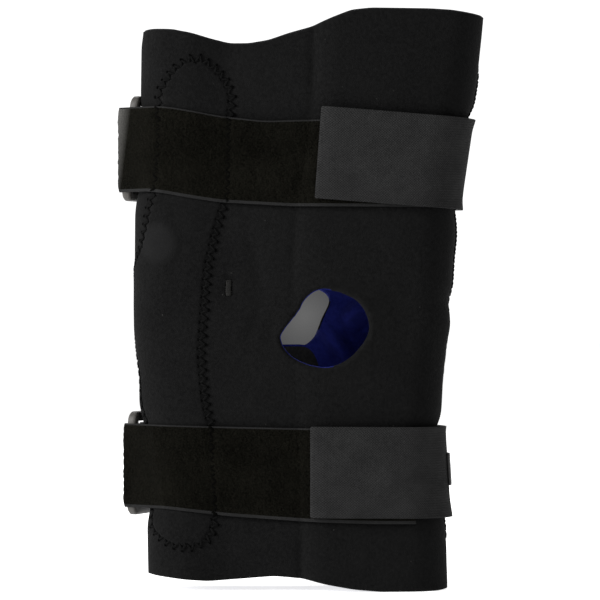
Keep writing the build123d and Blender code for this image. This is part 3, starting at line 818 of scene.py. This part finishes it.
def pocket_patch(side):
    """The pocket's skin: sewn down all round, a little fuller in the middle."""
    rows, columns = 190, 46
    turn = np.linspace(0, np.pi, rows)
    z = (POCKET_LOW + POCKET_HIGH) / 2 - np.cos(turn) * (POCKET_HIGH - POCKET_LOW) / 2
    inner, outer = pocket_lines(z, side)
    u = (1 - np.cos(np.linspace(0, np.pi, columns))) / 2
    t = outer[:, None] + (inner - outer)[:, None] * u[None, :]
    width = np.abs(inner - outer)[:, None] * girth(z)[:, None]
    height = np.minimum(z - POCKET_LOW, POCKET_HIGH - z)[:, None]
    inset = np.minimum(np.minimum(u, 1 - u)[None, :] * width, height * 1.2)
    raised = 1.15 * smooth_step(0, 3.4, inset) + 0.55 * smooth_step(2, 16, inset) - 0.12
    zz = z[:, None] + 0 * t
    skin = on_sleeve(t, zz, raised)
    parts = Parts()
    parts.add(skin, grid_faces(rows, columns), 0)
    under = on_sleeve(t, zz, -0.25)
    parts.add(under, [face[::-1] for face in grid_faces(rows, columns)], 0)
    n = rows * columns
    for a, b in grid_rim(rows, columns):
        parts.faces.append([a, b, b + n, a + n])
        parts.choice.append(0)
    thing = parts.finish(side + "_hinge_pocket", [jersey])
    face_outwards(thing)
    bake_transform(thing)
    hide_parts(*[f"{side}_{part}_pocket" for part in ("calf", "knee", "thigh")])


# --- straps: where their middles run, and how wide they are -----------------------------
STRAPS = {
    "upper": {
        "body": THIGH, "bar": -97.4, "lean": (5.0, 246.5), "ring_low": 220.8, "ring_high": 274.6,
        "band_top": eased([(-104, 271.3), (-76, 270.3), (-60, 267.5), (-47, 264.9), (-22, 262.0), (6, 262.6),
                           (60, 261.5), (110, 260)], 8),
        "band_low": eased([(-104, 225.2), (-78, 222.6), (-60, 219.5), (-42, 216.8), (0, 214.4), (110, 214.0)], 8),
        "back": lambda x: 242.4 - 0.05 * x, "tab": lambda x: 245.1 - 0.077 * x,
        "tab_end": 9.9, "slant": 0.072, "free": 30.0, "peel": 62.0,
    },
    "lower": {
        "body": CALF, "bar": -94.4, "lean": (0.6, 70.6), "ring_low": 44.2, "ring_high": 97.0,
        "band_top": eased([(-104, 93.6), (-70, 92.8), (-40, 92.0), (0, 91.2), (110, 90.5)], 8),
        "band_low": eased([(-104, 48.0), (-72, 45.6), (-40, 42.0), (0, 39.4), (40, 38.0), (110, 37.6)], 8),
        "back": lambda x: 67.8 - 0.03 * x, "tab": lambda x: 66.9 - 0.008 * x,
        "tab_end": 5.6, "slant": 0.0, "free": 10.0, "peel": 53.0,
    },
}
RING_RADIUS, RING_REACH = 2.8, 22.5
PATH_STEP = 0.8


def rear_bar(strap, z):
    """Where the ring's rear bar stands: on a circle about the fold, one ring's reach on."""
    middle, reach, _, _, _ = plan(np.float64(z))
    fold_x = middle - reach
    far = fold_x - strap["bar"]
    turn = 2 * math.asin(RING_REACH / 2 / far)
    return fold_x - far * math.cos(turn), far * math.sin(turn)


def ribbon(name, lines, thickness, across, materials, pattern=None, swell=0.0):
    """A strap from its middle surface: lines are rows of (point, outward) pairs from one edge to the other."""
    points = np.array([line[0] for line in lines])
    outward = np.array([line[1] for line in lines])
    outward = outward / np.linalg.norm(outward, axis=2)[..., None]
    rows, columns = points.shape[:2]
    w = np.abs(np.asarray(across))[:, None] + np.zeros((rows, columns))
    thick = thickness * (0.42 + 0.58 * np.clip(1 - w ** 14, 0, 1) ** 0.5)
    ends = np.minimum(np.arange(columns), np.arange(columns)[::-1])[None, :]
    thick = thick * np.where(ends == 0, 0.45, np.where(ends == 1, 0.85, 1.0))
    outer = points + outward * (thick / 2 + swell)[..., None]
    inner = points - outward * (thick / 2)[..., None]
    parts = Parts()
    faces = grid_faces(rows, columns)
    cells = [(j, i) for j in range(rows - 1) for i in range(columns - 1)]
    choice = [pattern(j, i) if pattern else 0 for j, i in cells]
    parts.points = np.concatenate([outer.reshape(-1, 3), inner.reshape(-1, 3)]).tolist()
    parts.faces = [list(f) for f in faces]
    parts.choice = list(choice)
    n = rows * columns
    parts.faces += [[a + n for a in f][::-1] for f in faces]
    back = len(materials) - 1
    parts.choice += [back] * len(faces)
    for a, b in grid_rim(rows, columns):
        parts.faces.append([a, b, b + n, a + n])
        parts.choice.append(choice[0])
    return face_outwards(parts.finish(name, materials))


def edge_rows(width, step):
    """Places across a strap from -1 to 1, closer together at its edges."""
    count = int(width / step)
    inner = np.linspace(-0.965, 0.965, count)
    return np.concatenate([[-1, -0.99], inner, [0.99, 1]])


def clumps(shape, seed, spread):
    """Even-sided random relief for pile, always the same for one seed."""
    field = np.random.default_rng(seed).normal(size=shape)
    kernel = np.hanning(spread + 2)[1:-1]
    kernel /= kernel.sum()
    for axis in (0, 1):
        field = np.apply_along_axis(lambda row: np.convolve(row, kernel, "same"), axis, field)
    return field / field.std()


def front_band(which):
    """Loop band: round the ring's front bar, over the left fold, across the front to the right fold."""
    strap = STRAPS[which]
    out, thick = 2.35, 1.5
    bar_radius = RING_RADIUS + 0.4 + thick / 2
    w = edge_rows(46, PATH_STEP)
    lines = []
    length = None
    for part in w:
        top, low = strap["band_top"], strap["band_low"]
        z_mid = (top(-90.0) + low(-90.0)) / 2
        z_left = z_mid + part * (top(-96.0) - low(-96.0)) / 2
        middle, reach, _, _, turn = plan(z_left)
        fold_x = middle - reach
        lean = math.acos((FOLD + out - bar_radius) / (fold_x - strap["bar"]))
        # the run on the sleeve, from the right fold to where it leaves the left fold
        t_end = 0.5 - FOLD * (turn - math.radians(strap["free"])) / girth(z_left)
        t_leave = FOLD * lean / girth(z_left)
        if length is None:
            length = int((t_end - t_leave) * girth(z_left) / PATH_STEP)
        t = np.linspace(t_end, t_leave, length)
        x = outline(t, z_mid)[0]
        z = (top(x) + low(x)) / 2 + part * (top(x) - low(x)) / 2
        run = on_sleeve(t, z, out)
        face = normal_at(t, z)
        leave = np.array([fold_x - (FOLD + out) * math.cos(lean), -(FOLD + out) * math.sin(lean)])
        away = np.array([-math.cos(lean), -math.sin(lean)])
        start = np.array([strap["bar"], 0]) + away * bar_radius
        straight = leave + (start - leave) * np.linspace(0, 1, 6)[1:, None]
        turn_by = np.linspace(math.pi + lean, math.radians(20), 22)[1:]
        wrap = np.array([strap["bar"], 0]) + bar_radius * np.stack([np.cos(turn_by), np.sin(turn_by)], -1)
        wrap_face = np.stack([np.cos(turn_by), np.sin(turn_by)], -1)
        tail_way = np.array([math.sin(turn_by[-1]), -math.cos(turn_by[-1])])
        tail = wrap[-1] + tail_way * np.linspace(0, 5, 6)[1:, None]
        plan_points = np.concatenate([straight, wrap, tail])
        plan_faces = np.concatenate([np.tile(away, (5, 1)), wrap_face, np.tile(wrap_face[-1], (5, 1))])
        end_z = z[-1]
        free = np.column_stack([plan_points, np.full(len(plan_points), end_z)])
        free_face = np.column_stack([plan_faces, np.zeros(len(plan_points))])
        # the run meets the free part without a step
        miss = run[-1] - np.array([leave[0], leave[1], end_z])
        fade = np.clip(1 - np.arange(len(free)) / 5, 0, 1)[:, None]
        free = free + miss * fade
        lines.append((np.concatenate([run, free]), np.concatenate([face, free_face])))
    columns = len(lines[0][0])
    relief = clumps((len(w), columns), 11 if which == "upper" else 12, 3) * 0.13
    relief = relief * (np.abs(w) < 0.93)[:, None]
    relief = relief + 0.28 * (1 - smooth_step(0.88, 0.96, np.abs(w)))[:, None]
    for near, strength in ((pocket_inner, 1.0), (None, 0.8)):
        xs = np.array([line[0][:, 0] for line in lines])
        zs = np.array([line[0][:, 2] for line in lines])
        ys = np.array([line[0][:, 1] for line in lines])
        if near is not None:
            gap = xs - near(zs)
        else:
            gap = (at_x(xs, zs) - pocket_outer(zs) / girth(zs)) * girth(zs)
        relief = relief - strength * 0.42 * bump_at(gap, 0, 2.2) * (ys < 0) * (xs > strap["bar"] + 5)
    # selvedge rows: real on both edges, and wider on the lower edge as a painted highlight where the band curls
    # outwards
    edge = (w > 0.975) | (w < -0.95)

    def pattern(j, i):
        return 1 if edge[j] or edge[j + 1] else 0

    thing = ribbon(which + "_loop_band", lines, thick, w, [loop_pile, selvedge_and_highlight, webbing], pattern, relief)
    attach(thing, strap["body"])
    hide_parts(which + "_front_band")
    return thing


def sleeve_run(t, outs, middle, width, w):
    """Rows of a strap that lies on the sleeve along t."""
    x = outline(t, middle(0.0))[0]
    lines = []
    for part in w:
        z = middle(x) + part * width / 2
        lines.append((on_sleeve(t, z, outs), normal_at(t, z)))
    return lines


def webbing_strap(name, lines, thick, w, replaced):
    thing = ribbon(name, lines, thick, w, [webbing, webbing])
    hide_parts(replaced)
    return thing


def back_straps(which):
    """The sewn run across the back, the turn through the ring, and the run back to the right fold."""
    strap = STRAPS[which]
    back = strap["back"]
    w = edge_rows(46, 2.0)
    thick = 1.6
    z0 = back(0.0)
    join = at_x(-62.0, z0, True)
    # sewn run
    t = np.linspace(at_x(56.0, z0, True), join + 0.004, 90)
    outs = np.full(len(t), 2.9) - 0.6 * smooth_step(10, 0, np.arange(len(t)))
    anchor = sleeve_run(t, outs, back, 45.5, w)
    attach(webbing_strap(which + "_sewn_strap", anchor, thick, w, which + "_strap_anchor_run"), strap["body"])
    # return run: comes down onto the sleeve beyond the sewn end, and ends under the tab at the right fold
    t = np.linspace(join + 0.004, 0.5 - FOLD * math.radians(38) / girth(z0), 190)
    x = outline(t, z0)[0]
    outs = 4.75 - 1.55 * smooth_step(58, 70, x) * (t < at_x(50.0, z0, True))
    run = sleeve_run(t, outs, lambda v: back(v) + 1.2 * smooth_step(70, 95, v), 46.0, w)
    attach(webbing_strap(which + "_return_strap", run, thick, w, which + "_strap_return_run"), strap["body"])
    # the turn round the ring's rear bar
    bar = rear_bar(strap, z0)
    inner, outer, bar_radius = 2.9, 4.75, RING_RADIUS + 0.35 + thick / 2
    lines = []
    for part in w:
        z = back(-80.0) + part * 45.5 / 2
        middle, reach, _, _, _ = plan(z)
        fold_x = middle - reach
        apart = math.hypot(bar[0] - fold_x, bar[1])
        bearing = math.atan2(bar[1], fold_x - bar[0])
        a_in = bearing + math.acos(min(1, (FOLD + inner + bar_radius) / apart))
        a_out = bearing + math.acos(min(1, (FOLD + outer - bar_radius) / apart))
        t_join = 1 - float(at_x(np.float64(-62.0), z))
        t_in = 1 - FOLD * a_in / girth(z)
        t_out = 1 - FOLD * a_out / girth(z)
        first_t = np.linspace(t_join, t_in, 16)
        first = on_sleeve(first_t, z + 0 * first_t, inner)
        first_face = normal_at(first_t, z + 0 * first_t)
        last_t = np.linspace(t_out, t_join, 14)
        last = on_sleeve(last_t, z + 0 * last_t, outer)
        last_face = normal_at(last_t, z + 0 * last_t)
        angles = np.linspace(2 * math.pi - a_in, math.pi - a_out, 20)
        ring = np.stack([bar[0] + bar_radius * np.cos(angles), bar[1] + bar_radius * np.sin(angles),
                         z + 0 * angles], -1)
        ring_face = -np.stack([np.cos(angles), np.sin(angles), 0 * angles], -1)
        bridge_in = first[-1] + (ring[0] - first[-1]) * np.linspace(0, 1, 5)[1:-1, None]
        bridge_out = ring[-1] + (last[0] - ring[-1]) * np.linspace(0, 1, 5)[1:-1, None]
        lines.append((
            np.concatenate([first, bridge_in, ring, bridge_out, last]),
            np.concatenate([first_face, np.tile(first_face[-1], (3, 1)), ring_face,
                            np.tile(ring_face[-1], (3, 1)), -last_face]),
        ))
    turn = webbing_strap(which + "_strap_turn_loop", lines, thick, w, which + "_strap_turn")
    z_m = back(-80.0) * MM
    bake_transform(turn)


def ring(which):
    """A moulded rectangular ring of rounded section; the straps pass through it."""
    strap = STRAPS[which]
    z_mid = (strap["ring_low"] + strap["ring_high"]) / 2
    bar = rear_bar(strap, strap["back"](0.0))
    half = (strap["ring_high"] - strap["ring_low"]) / 2
    ahead = np.array([bar[0] - strap["bar"], bar[1], 0])
    ahead = ahead / np.linalg.norm(ahead)
    corner = 3.4
    track = []
    for cx, cz, start in ((RING_REACH, half, 90), (RING_REACH, -half, 0), (0, -half, -90), (0, half, -180)):
        mx = cx - corner if cx else corner
        mz = cz - corner if cz > 0 else cz + corner
        for angle in np.radians(np.linspace(start, start - 90, 9)):
            track.append((mx + corner * math.cos(angle), mz + corner * math.sin(angle)))
    track = np.array(track)
    dense = []
    for a, b in zip(track, np.roll(track, -1, 0)):
        steps = max(1, int(np.hypot(*(b - a)) / 1.5))
        for k in range(steps):
            dense.append(a + (b - a) * k / steps)
    dense = np.array(dense)
    tilt, about = strap["lean"]
    place = np.array([strap["bar"], 0, z_mid]) + dense[:, :1] * ahead + dense[:, 1:] * np.array([0, 0, 1.0])
    place[:, 0] += tilt * (place[:, 2] - strap["ring_low"]) / (2 * half)
    side = np.cross(ahead, [0, 0, 1.0])
    turn = np.roll(dense, -1, 0) - np.roll(dense, 1, 0)
    turn /= np.linalg.norm(turn, axis=1)[:, None]
    outward = turn[:, 1:] * ahead * -1 + turn[:, :1] * np.array([0, 0, 1.0])
    sides = 20
    angles = np.arange(sides) / sides * 2 * np.pi
    # a rounded rectangle section, a little wider than it is thick
    squash = 1 / (np.abs(np.cos(angles)) ** 4.5 + np.abs(np.sin(angles)) ** 4.5) ** (1 / 4.5)
    section = np.stack([np.cos(angles) * 2.75 * squash, np.sin(angles) * 2.55 * squash], -1)
    points = place[:, None] + outward[:, None] * section[None, :, :1] + side[None, None] * section[None, :, 1:]
    parts = Parts()
    faces = grid_faces(len(dense), sides, True)
    last = (len(dense) - 1) * sides
    faces += [(last + i, last + (i + 1) % sides, (i + 1) % sides, i) for i in range(sides)]
    parts.add(points, faces)
    thing = face_outwards(parts.finish(which + "_strap_ring", [ring_plastic]))
    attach(thing, which + "_ring_loop")
    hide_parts(which + "_ring")


def hook_tab(which):
    """The charcoal tab: from behind the right fold round onto the loop band, with its hooks underneath."""
    strap = STRAPS[which]
    z0 = strap["tab"](40.0)
    w = edge_rows(50.8, 1.0)
    t_start = float(at_x(78.0 if which == "upper" else 70.0, z0, True))
    lines, hooks = [], []
    for part in w:
        end_x = strap["tab_end"] + strap["slant"] * part * 25.4
        # the two free corners are rounded off
        end_x += 0.7 * max(0.0, (abs(part) - 0.96) / 0.04) ** 2
        t = np.linspace(t_start, float(at_x(end_x, strap["tab"](end_x) + part * 25.4)), 150)
        x = outline(t, z0)[0]
        z = strap["tab"](x) + part * 25.4
        away = smooth_step(0.5, 0.53, t)
        outs = 4.95 + 0.25 * away + 0.15 * np.sin(x * 0.11) * bump_at(x, 30, 30) * (t < 0.45)
        lines.append((on_sleeve(t, z, outs), normal_at(t, z)))
        hooks_end = float(at_x(end_x + 1.2, strap["tab"](end_x) + part * 24.6))
        th = np.linspace(float(at_x(strap["peel"] - 2.0, z0)), hooks_end, 60)
        xh = outline(th, z0)[0]
        zh = strap["tab"](xh) + part * 24.6
        hooks.append((on_sleeve(th, zh, 3.95), normal_at(th, zh)))
    tab = ribbon(which + "_hook_tab_back", lines, 1.3, w, [hook_back, hook_field])
    field = ribbon(which + "_hook_tab_hooks", hooks, 0.6, w, [hook_field, hook_field])
    for thing in (tab, field):
        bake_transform(thing)
    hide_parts(which + "_hook_tab")


# --- stitching -------------------------------------------------------------------------
# A needle hole lies this much further out than the end of its stitch.
HOLE_OUT = 1.28


def surface_out(t, z, side):
    """How far out the top layer is beside the pockets: the pocket's edge, or a band over it."""
    out = 0.42 + 0 * t
    if side == "left":
        x, y, _, _ = outline(t, z)
        for strap in STRAPS.values():
            top, low = strap["band_top"](x), strap["band_low"](x)
            over = (z < top - 0.4) & (z > low + 0.4) & (y < 3)
            out = np.where(over, 3.02, out)
    return out


def needle_hole(parts, middle, face, radius, sides, tall, deep):
    """A small round hole with a sunk middle."""
    level = np.array([-face[1], face[0], 0])
    spin = np.arange(sides) / sides * 2 * np.pi
    disc = middle + radius * (np.cos(spin)[:, None] * level + np.sin(spin)[:, None] * np.array([0, 0, tall]))
    parts.add(np.concatenate([disc, (middle - face * deep)[None]]), [(i, (i + 1) % sides, sides) for i in range(sides)])


def zigzag(side):
    """Zigzag round a pocket: each stitch is a thread that arches from one needle hole to the next."""
    z_up = np.linspace(POCKET_LOW, POCKET_HIGH, 900)
    inner, outer = pocket_lines(z_up, side)
    t = np.concatenate([inner, outer[::-1]])
    z = np.concatenate([z_up, z_up[::-1]])
    place = on_sleeve(t, z)
    step = np.linalg.norm(np.diff(place, axis=0, append=place[:1]), axis=1)
    along = np.concatenate([[0], np.cumsum(step)])[:-1]
    total = along[-1] + step[-1]
    count = 2 * int(total / 4.8)
    at = np.arange(count) * total / count
    along, t, z = np.append(along, total), np.append(t, t[0]), np.append(z, z[0])
    ct, cz = np.interp(at, along, t), np.interp(at, along, z)
    ahead_t = (np.roll(ct, -1) - np.roll(ct, 1)) * girth(cz)
    ahead_z = np.roll(cz, -1) - np.roll(cz, 1)
    size = np.maximum(np.hypot(ahead_t, ahead_z), 1e-9)
    wave = np.random.default_rng(5).normal(0, 0.12, count)
    swing = (1.85 + wave) * np.where(np.arange(count) % 2, 1, -1)
    ht = ct + (-ahead_z / size * swing) / girth(cz)
    hz = cz + ahead_t / size * swing
    threads, holes = Parts(), Parts()
    for k in range(count):
        n = (k + 1) % count
        u = np.linspace(0, 1, 7)
        tt = ht[k] + (ht[n] - ht[k]) * u
        zz = hz[k] + (hz[n] - hz[k]) * u
        base = surface_out(tt, zz, side)
        on_band = bool(base[3] > 1)
        arch = base - (0.95 if on_band else 0.72) + 0.62 * np.sin(np.pi * u) ** 0.6
        # on a band the thread takes its darker copy, painted shade for its groove
        tube(threads, on_sleeve(tt, zz, arch), 0.72, 8, choice=1 if on_band else 0)
        if on_band:
            continue
        # each needle hole is a near-black disc of painted shade
        centre_t, centre_z = np.array(ct[k] + (ht[k] - ct[k]) * HOLE_OUT), np.array(cz[k] + (hz[k] - cz[k]) * HOLE_OUT)
        over_pocket = (k % 2 == 1) == (side == "left")
        middle = on_sleeve(centre_t, centre_z, 0.92 if over_pocket else 0.52)
        radius = 0.72 + 0.12 * math.sin(k * 2.3)
        needle_hole(holes, middle, normal_at(centre_t, centre_z), radius, 9, 1.15, 0.25)
    for parts, name, materials in ((threads, "_pocket_zigzag", [pocket_thread, sunk_thread_painted_shade]),
                                   (holes, "_pocket_needle_holes", [needle_hole_painted_shade])):
        thing = parts.finish(side + name, materials)
        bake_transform(thing)


def bar_tack():
    """A dense bar of satin stitches beside the left pocket, in a small dimple."""
    parts = Parts()
    x0, z0 = -40.0, 169.0
    rng = np.random.default_rng(3)
    for k in range(17):
        z = z0 - 4.0 + k * 0.5 + rng.normal(0, 0.04)
        u = np.linspace(-1, 1, 9)
        half = 1.55 + rng.normal(0, 0.07)
        xs = x0 + 0.12 * np.sin(z) + u * half
        zs = z + 0.18 * u
        t = at_x(xs, zs)
        tube(parts, on_sleeve(t, zs, -0.25 + 1.05 * (1 - u ** 4)), 0.30, 6)
    for dx in (-0.5, 0.5):
        zs = np.linspace(z0 - 4.3, z0 + 4.5, 12)
        t = at_x(x0 + dx + 0 * zs, zs)
        tube(parts, on_sleeve(t, zs, 0.35 - 0.5 * (np.abs(zs - z0) > 4.2)), 0.35, 6)
    thing = parts.finish("bar_tack", [tack_thread])
    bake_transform(thing)
    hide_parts("pocket_bar_tack")
    # two rows of needle holes beside the bar: near-black discs of painted shade
    holes = Parts()
    for k in range(9):
        for dx in (-2.0, 2.0):
            z = z0 - 4.0 + k * 1.0
            t = at_x(np.array(x0 + dx), np.array(z))
            middle = on_sleeve(t, np.array(z), 0.08)
            needle_hole(holes, middle, normal_at(t, np.array(z)), 0.95, 8, 1.0, 0.2)
    thing = holes.finish("bar_tack_needle_holes", [needle_hole_painted_shade])
    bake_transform(thing)


def side_label():
    """A small blank ribbon label, folded double, sewn on the lower strap at the right fold."""
    parts = Parts()
    z = np.linspace(58.5, 76.5, 15)
    rows = []
    for angle_list, out in ((np.linspace(24, -14, 14), 6.0), (np.linspace(-14, 22, 14), 6.75)):
        for angle in angle_list:
            t = 0.5 + FOLD * math.radians(angle) / girth(z)
            rows.append(on_sleeve(t, z, out + 0.25 * math.cos(math.radians(angle * 4)) * (out > 6.5)))
    rows = np.array(rows)
    lines = []
    for j in range(len(z)):
        line = rows[:, j]
        ahead = np.gradient(line, axis=0)
        face = np.stack([ahead[:, 1], -ahead[:, 0], 0 * ahead[:, 0]], -1)
        lines.append((line, face))
    w = np.linspace(-1, 1, len(z))
    thing = ribbon("blank_side_label", lines, 0.35, w, [label_cloth, label_cloth])
    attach(thing, CALF)
    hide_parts("side_label")


def turned_lip():
    """Behind the kneecap the lower lip of the back opening is turned in, black side forward."""
    top = eased([(-56, 126), (-50, 133), (-42, 136), (-30, 137), (0, 137.2), (3.5, 136.8), (6.3, 135), (8.6, 131.8),
                 (10.4, 127.5), (12.2, 122), (13, 119)], 1.2)
    xs = np.linspace(-55, 12.6, 70)
    w = np.concatenate([[0, 0.02], np.linspace(0.05, 0.95, 14), [0.98, 1.0]])
    lines = []
    for part in w:
        z = 116 + (top(xs) - 116) * part
        t = at_x(xs, z, True)
        curl = 1.2 * part ** 2
        lines.append((on_sleeve(t, z, -NEOPRENE - 1.5 - curl), -normal_at(t, z)))
    rows = len(w)

    def pattern(j, i):
        return 1 if j >= rows - 3 or i >= 67 else 0

    # the lip's black side uses the lighter jersey copy, painted light
    thing = ribbon("turned_in_lip", lines, 1.7, (w * 2 - 1), [lip_jersey_painted_light, cut_edge, lining], pattern)
    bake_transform(thing)


for side in ("left", "right"):
    pocket_patch(side)
    zigzag(side)
for which in STRAPS:
    front_band(which)
    back_straps(which)
    ring(which)
    hook_tab(which)
bar_tack()
side_label()
turned_lip()

# --- the hinges keep their CAD meshes ---------------------------------------------------
HINGE_FINISHES = {
    "thigh_arm": arm_metal, "calf_arm": arm_metal, "hinge_outer_cover": cover_metal,
    "hinge_inner_cover": cover_metal, "pivot_rivet": rivet_metal, "cover_rivets": rivet_metal,
    "hinge_washers": nylon, "cover_spacers": nylon,
}
for side in ("left", "right"):
    for part, material in HINGE_FINISHES.items():
        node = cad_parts[f"{side}_{part}"]
        node.data.materials.clear()
        node.data.materials.append(material)


# --- floor, light and camera -----------------------------------------------------------
def plain_surface(name, colour, rough, glow):
    material, body, s = finish_of(name, Roughness=rough, Specular_IOR_Level=0.1, Emission_Color=(1, 1, 1, 1),
                                  Emission_Strength=glow)
    place = s.place()
    slow = s.node("ShaderNodeTexNoise", in_Scale=6.0, in_Detail=3.0)
    s.join(place, slow.inputs["Vector"])
    darker = tuple(c * 0.985 for c in colour)
    s.join(s.mix(slow.outputs["Fac"], (*darker, 1), (*colour, 1)), body.inputs["Base Color"])
    return material


def stage_sheet(name, corners, material):
    mesh = bpy.data.meshes.new(name)
    mesh.from_pydata(corners, [], [(0, 1, 2, 3)])
    mesh.materials.append(material)
    thing = bpy.data.objects.new(name, mesh)
    bpy.context.scene.collection.objects.link(thing)
    return thing


paper = plain_surface("white_table", (0.86, 0.86, 0.86), 0.9, 0.78)
stage_sheet("floor", [(-12, -12, 0), (12, -12, 0), (12, 12, 0), (-12, 12, 0)], paper)


def painted_shade_card():
    """Grey card seen through both openings: painted shade, glowing by an emission gradient that stands for a surface in
    the brace's shadow, a little lighter in its middle.
    """
    material, body, s = finish_of("painted_shade_card", Roughness=0.95, Specular_IOR_Level=0.0, Emission_Strength=1.0)
    body.inputs["Base Color"].default_value = (0.01, 0.01, 0.01, 1)
    place = s.place()
    gap = s.node("ShaderNodeVectorMath", operation="DISTANCE")
    s.join(place, gap.inputs[0])
    gap.inputs[1].default_value = (0.003, 0.8, 0.150)
    grain = s.node("ShaderNodeTexNoise", in_Scale=900.0, in_Detail=2.0)
    s.join(place, grain.inputs["Vector"])
    level = s.math("ADD", gap.outputs["Value"], s.math("MULTIPLY", grain.outputs["Fac"], 0.012))
    fade = s.spread(level, 0.008, 0.040, 0.0, 1.0)
    s.join(s.mix(fade, (0.112, 0.112, 0.112, 1), (0.050, 0.050, 0.052, 1)), body.inputs["Emission Color"])
    return material


# the card behind the openings glows with painted shade
CARD_LEFT, CARD_RIGHT, CARD_LOW, CARD_HIGH, CARD_Y = -0.022, 0.030, 0.078, 0.174, 0.8
stage_sheet("card_behind_openings", [(CARD_LEFT, CARD_Y, CARD_LOW), (CARD_RIGHT, CARD_Y, CARD_LOW),
                                     (CARD_RIGHT, CARD_Y, CARD_HIGH), (CARD_LEFT, CARD_Y, CARD_HIGH)], painted_shade_card())


def soft_light(name, place, size, power):
    light = bpy.data.lights.new(name, "AREA")
    light.shape, light.size, light.size_y = "RECTANGLE", size[0], size[1]
    light.energy = power
    thing = bpy.data.objects.new(name, light)
    thing.location = place
    thing.rotation_euler = (Vector((0, 0, 0.16)) - Vector(place)).to_track_quat("-Z", "Y").to_euler()
    bpy.context.scene.collection.objects.link(thing)


soft_light("key_softbox", (-1.8, -0.95, 0.95), (0.7, 1.2), 88)
soft_light("fill_softbox", (0.7, -1.7, 0.6), (1.0, 1.0), 8)
soft_light("back_softbox", (0.3, 1.7, 1.3), (1.6, 1.0), 22)


def white_room():
    """White all round; what the lens sees is a little brighter than what lights the brace."""
    world = bpy.data.worlds.new("white_room")
    world.use_nodes = True
    s = Sheet(world.node_tree)
    backdrop = world.node_tree.nodes["Background"]
    backdrop.inputs["Color"].default_value = (1, 1, 1, 1)
    rays = s.node("ShaderNodeLightPath")
    s.join(s.spread(rays.outputs["Is Camera Ray"], 0, 1, ROOM_LIGHT, ROOM_SEEN), backdrop.inputs["Strength"])
    return world


ROOM_LIGHT, ROOM_SEEN = 0.27, 1.15
world = white_room()
bpy.context.scene.world = world
bpy.context.scene.view_settings.view_transform = "Standard"

camera_data = bpy.data.cameras.new("front_camera")
camera = bpy.data.objects.new("front_camera", camera_data)
bpy.context.scene.collection.objects.link(camera)
DISTANCE, SIGHT_WIDTH = 2.0, 0.3348
camera_data.lens = 36 * DISTANCE / SIGHT_WIDTH
camera.location = (0, -0.017 - DISTANCE, 0.1624)
camera.rotation_euler = (math.pi / 2, 0, 0)
camera_data.clip_end = 60
bpy.context.scene.camera = camera

bpy.context.view_layer.update()
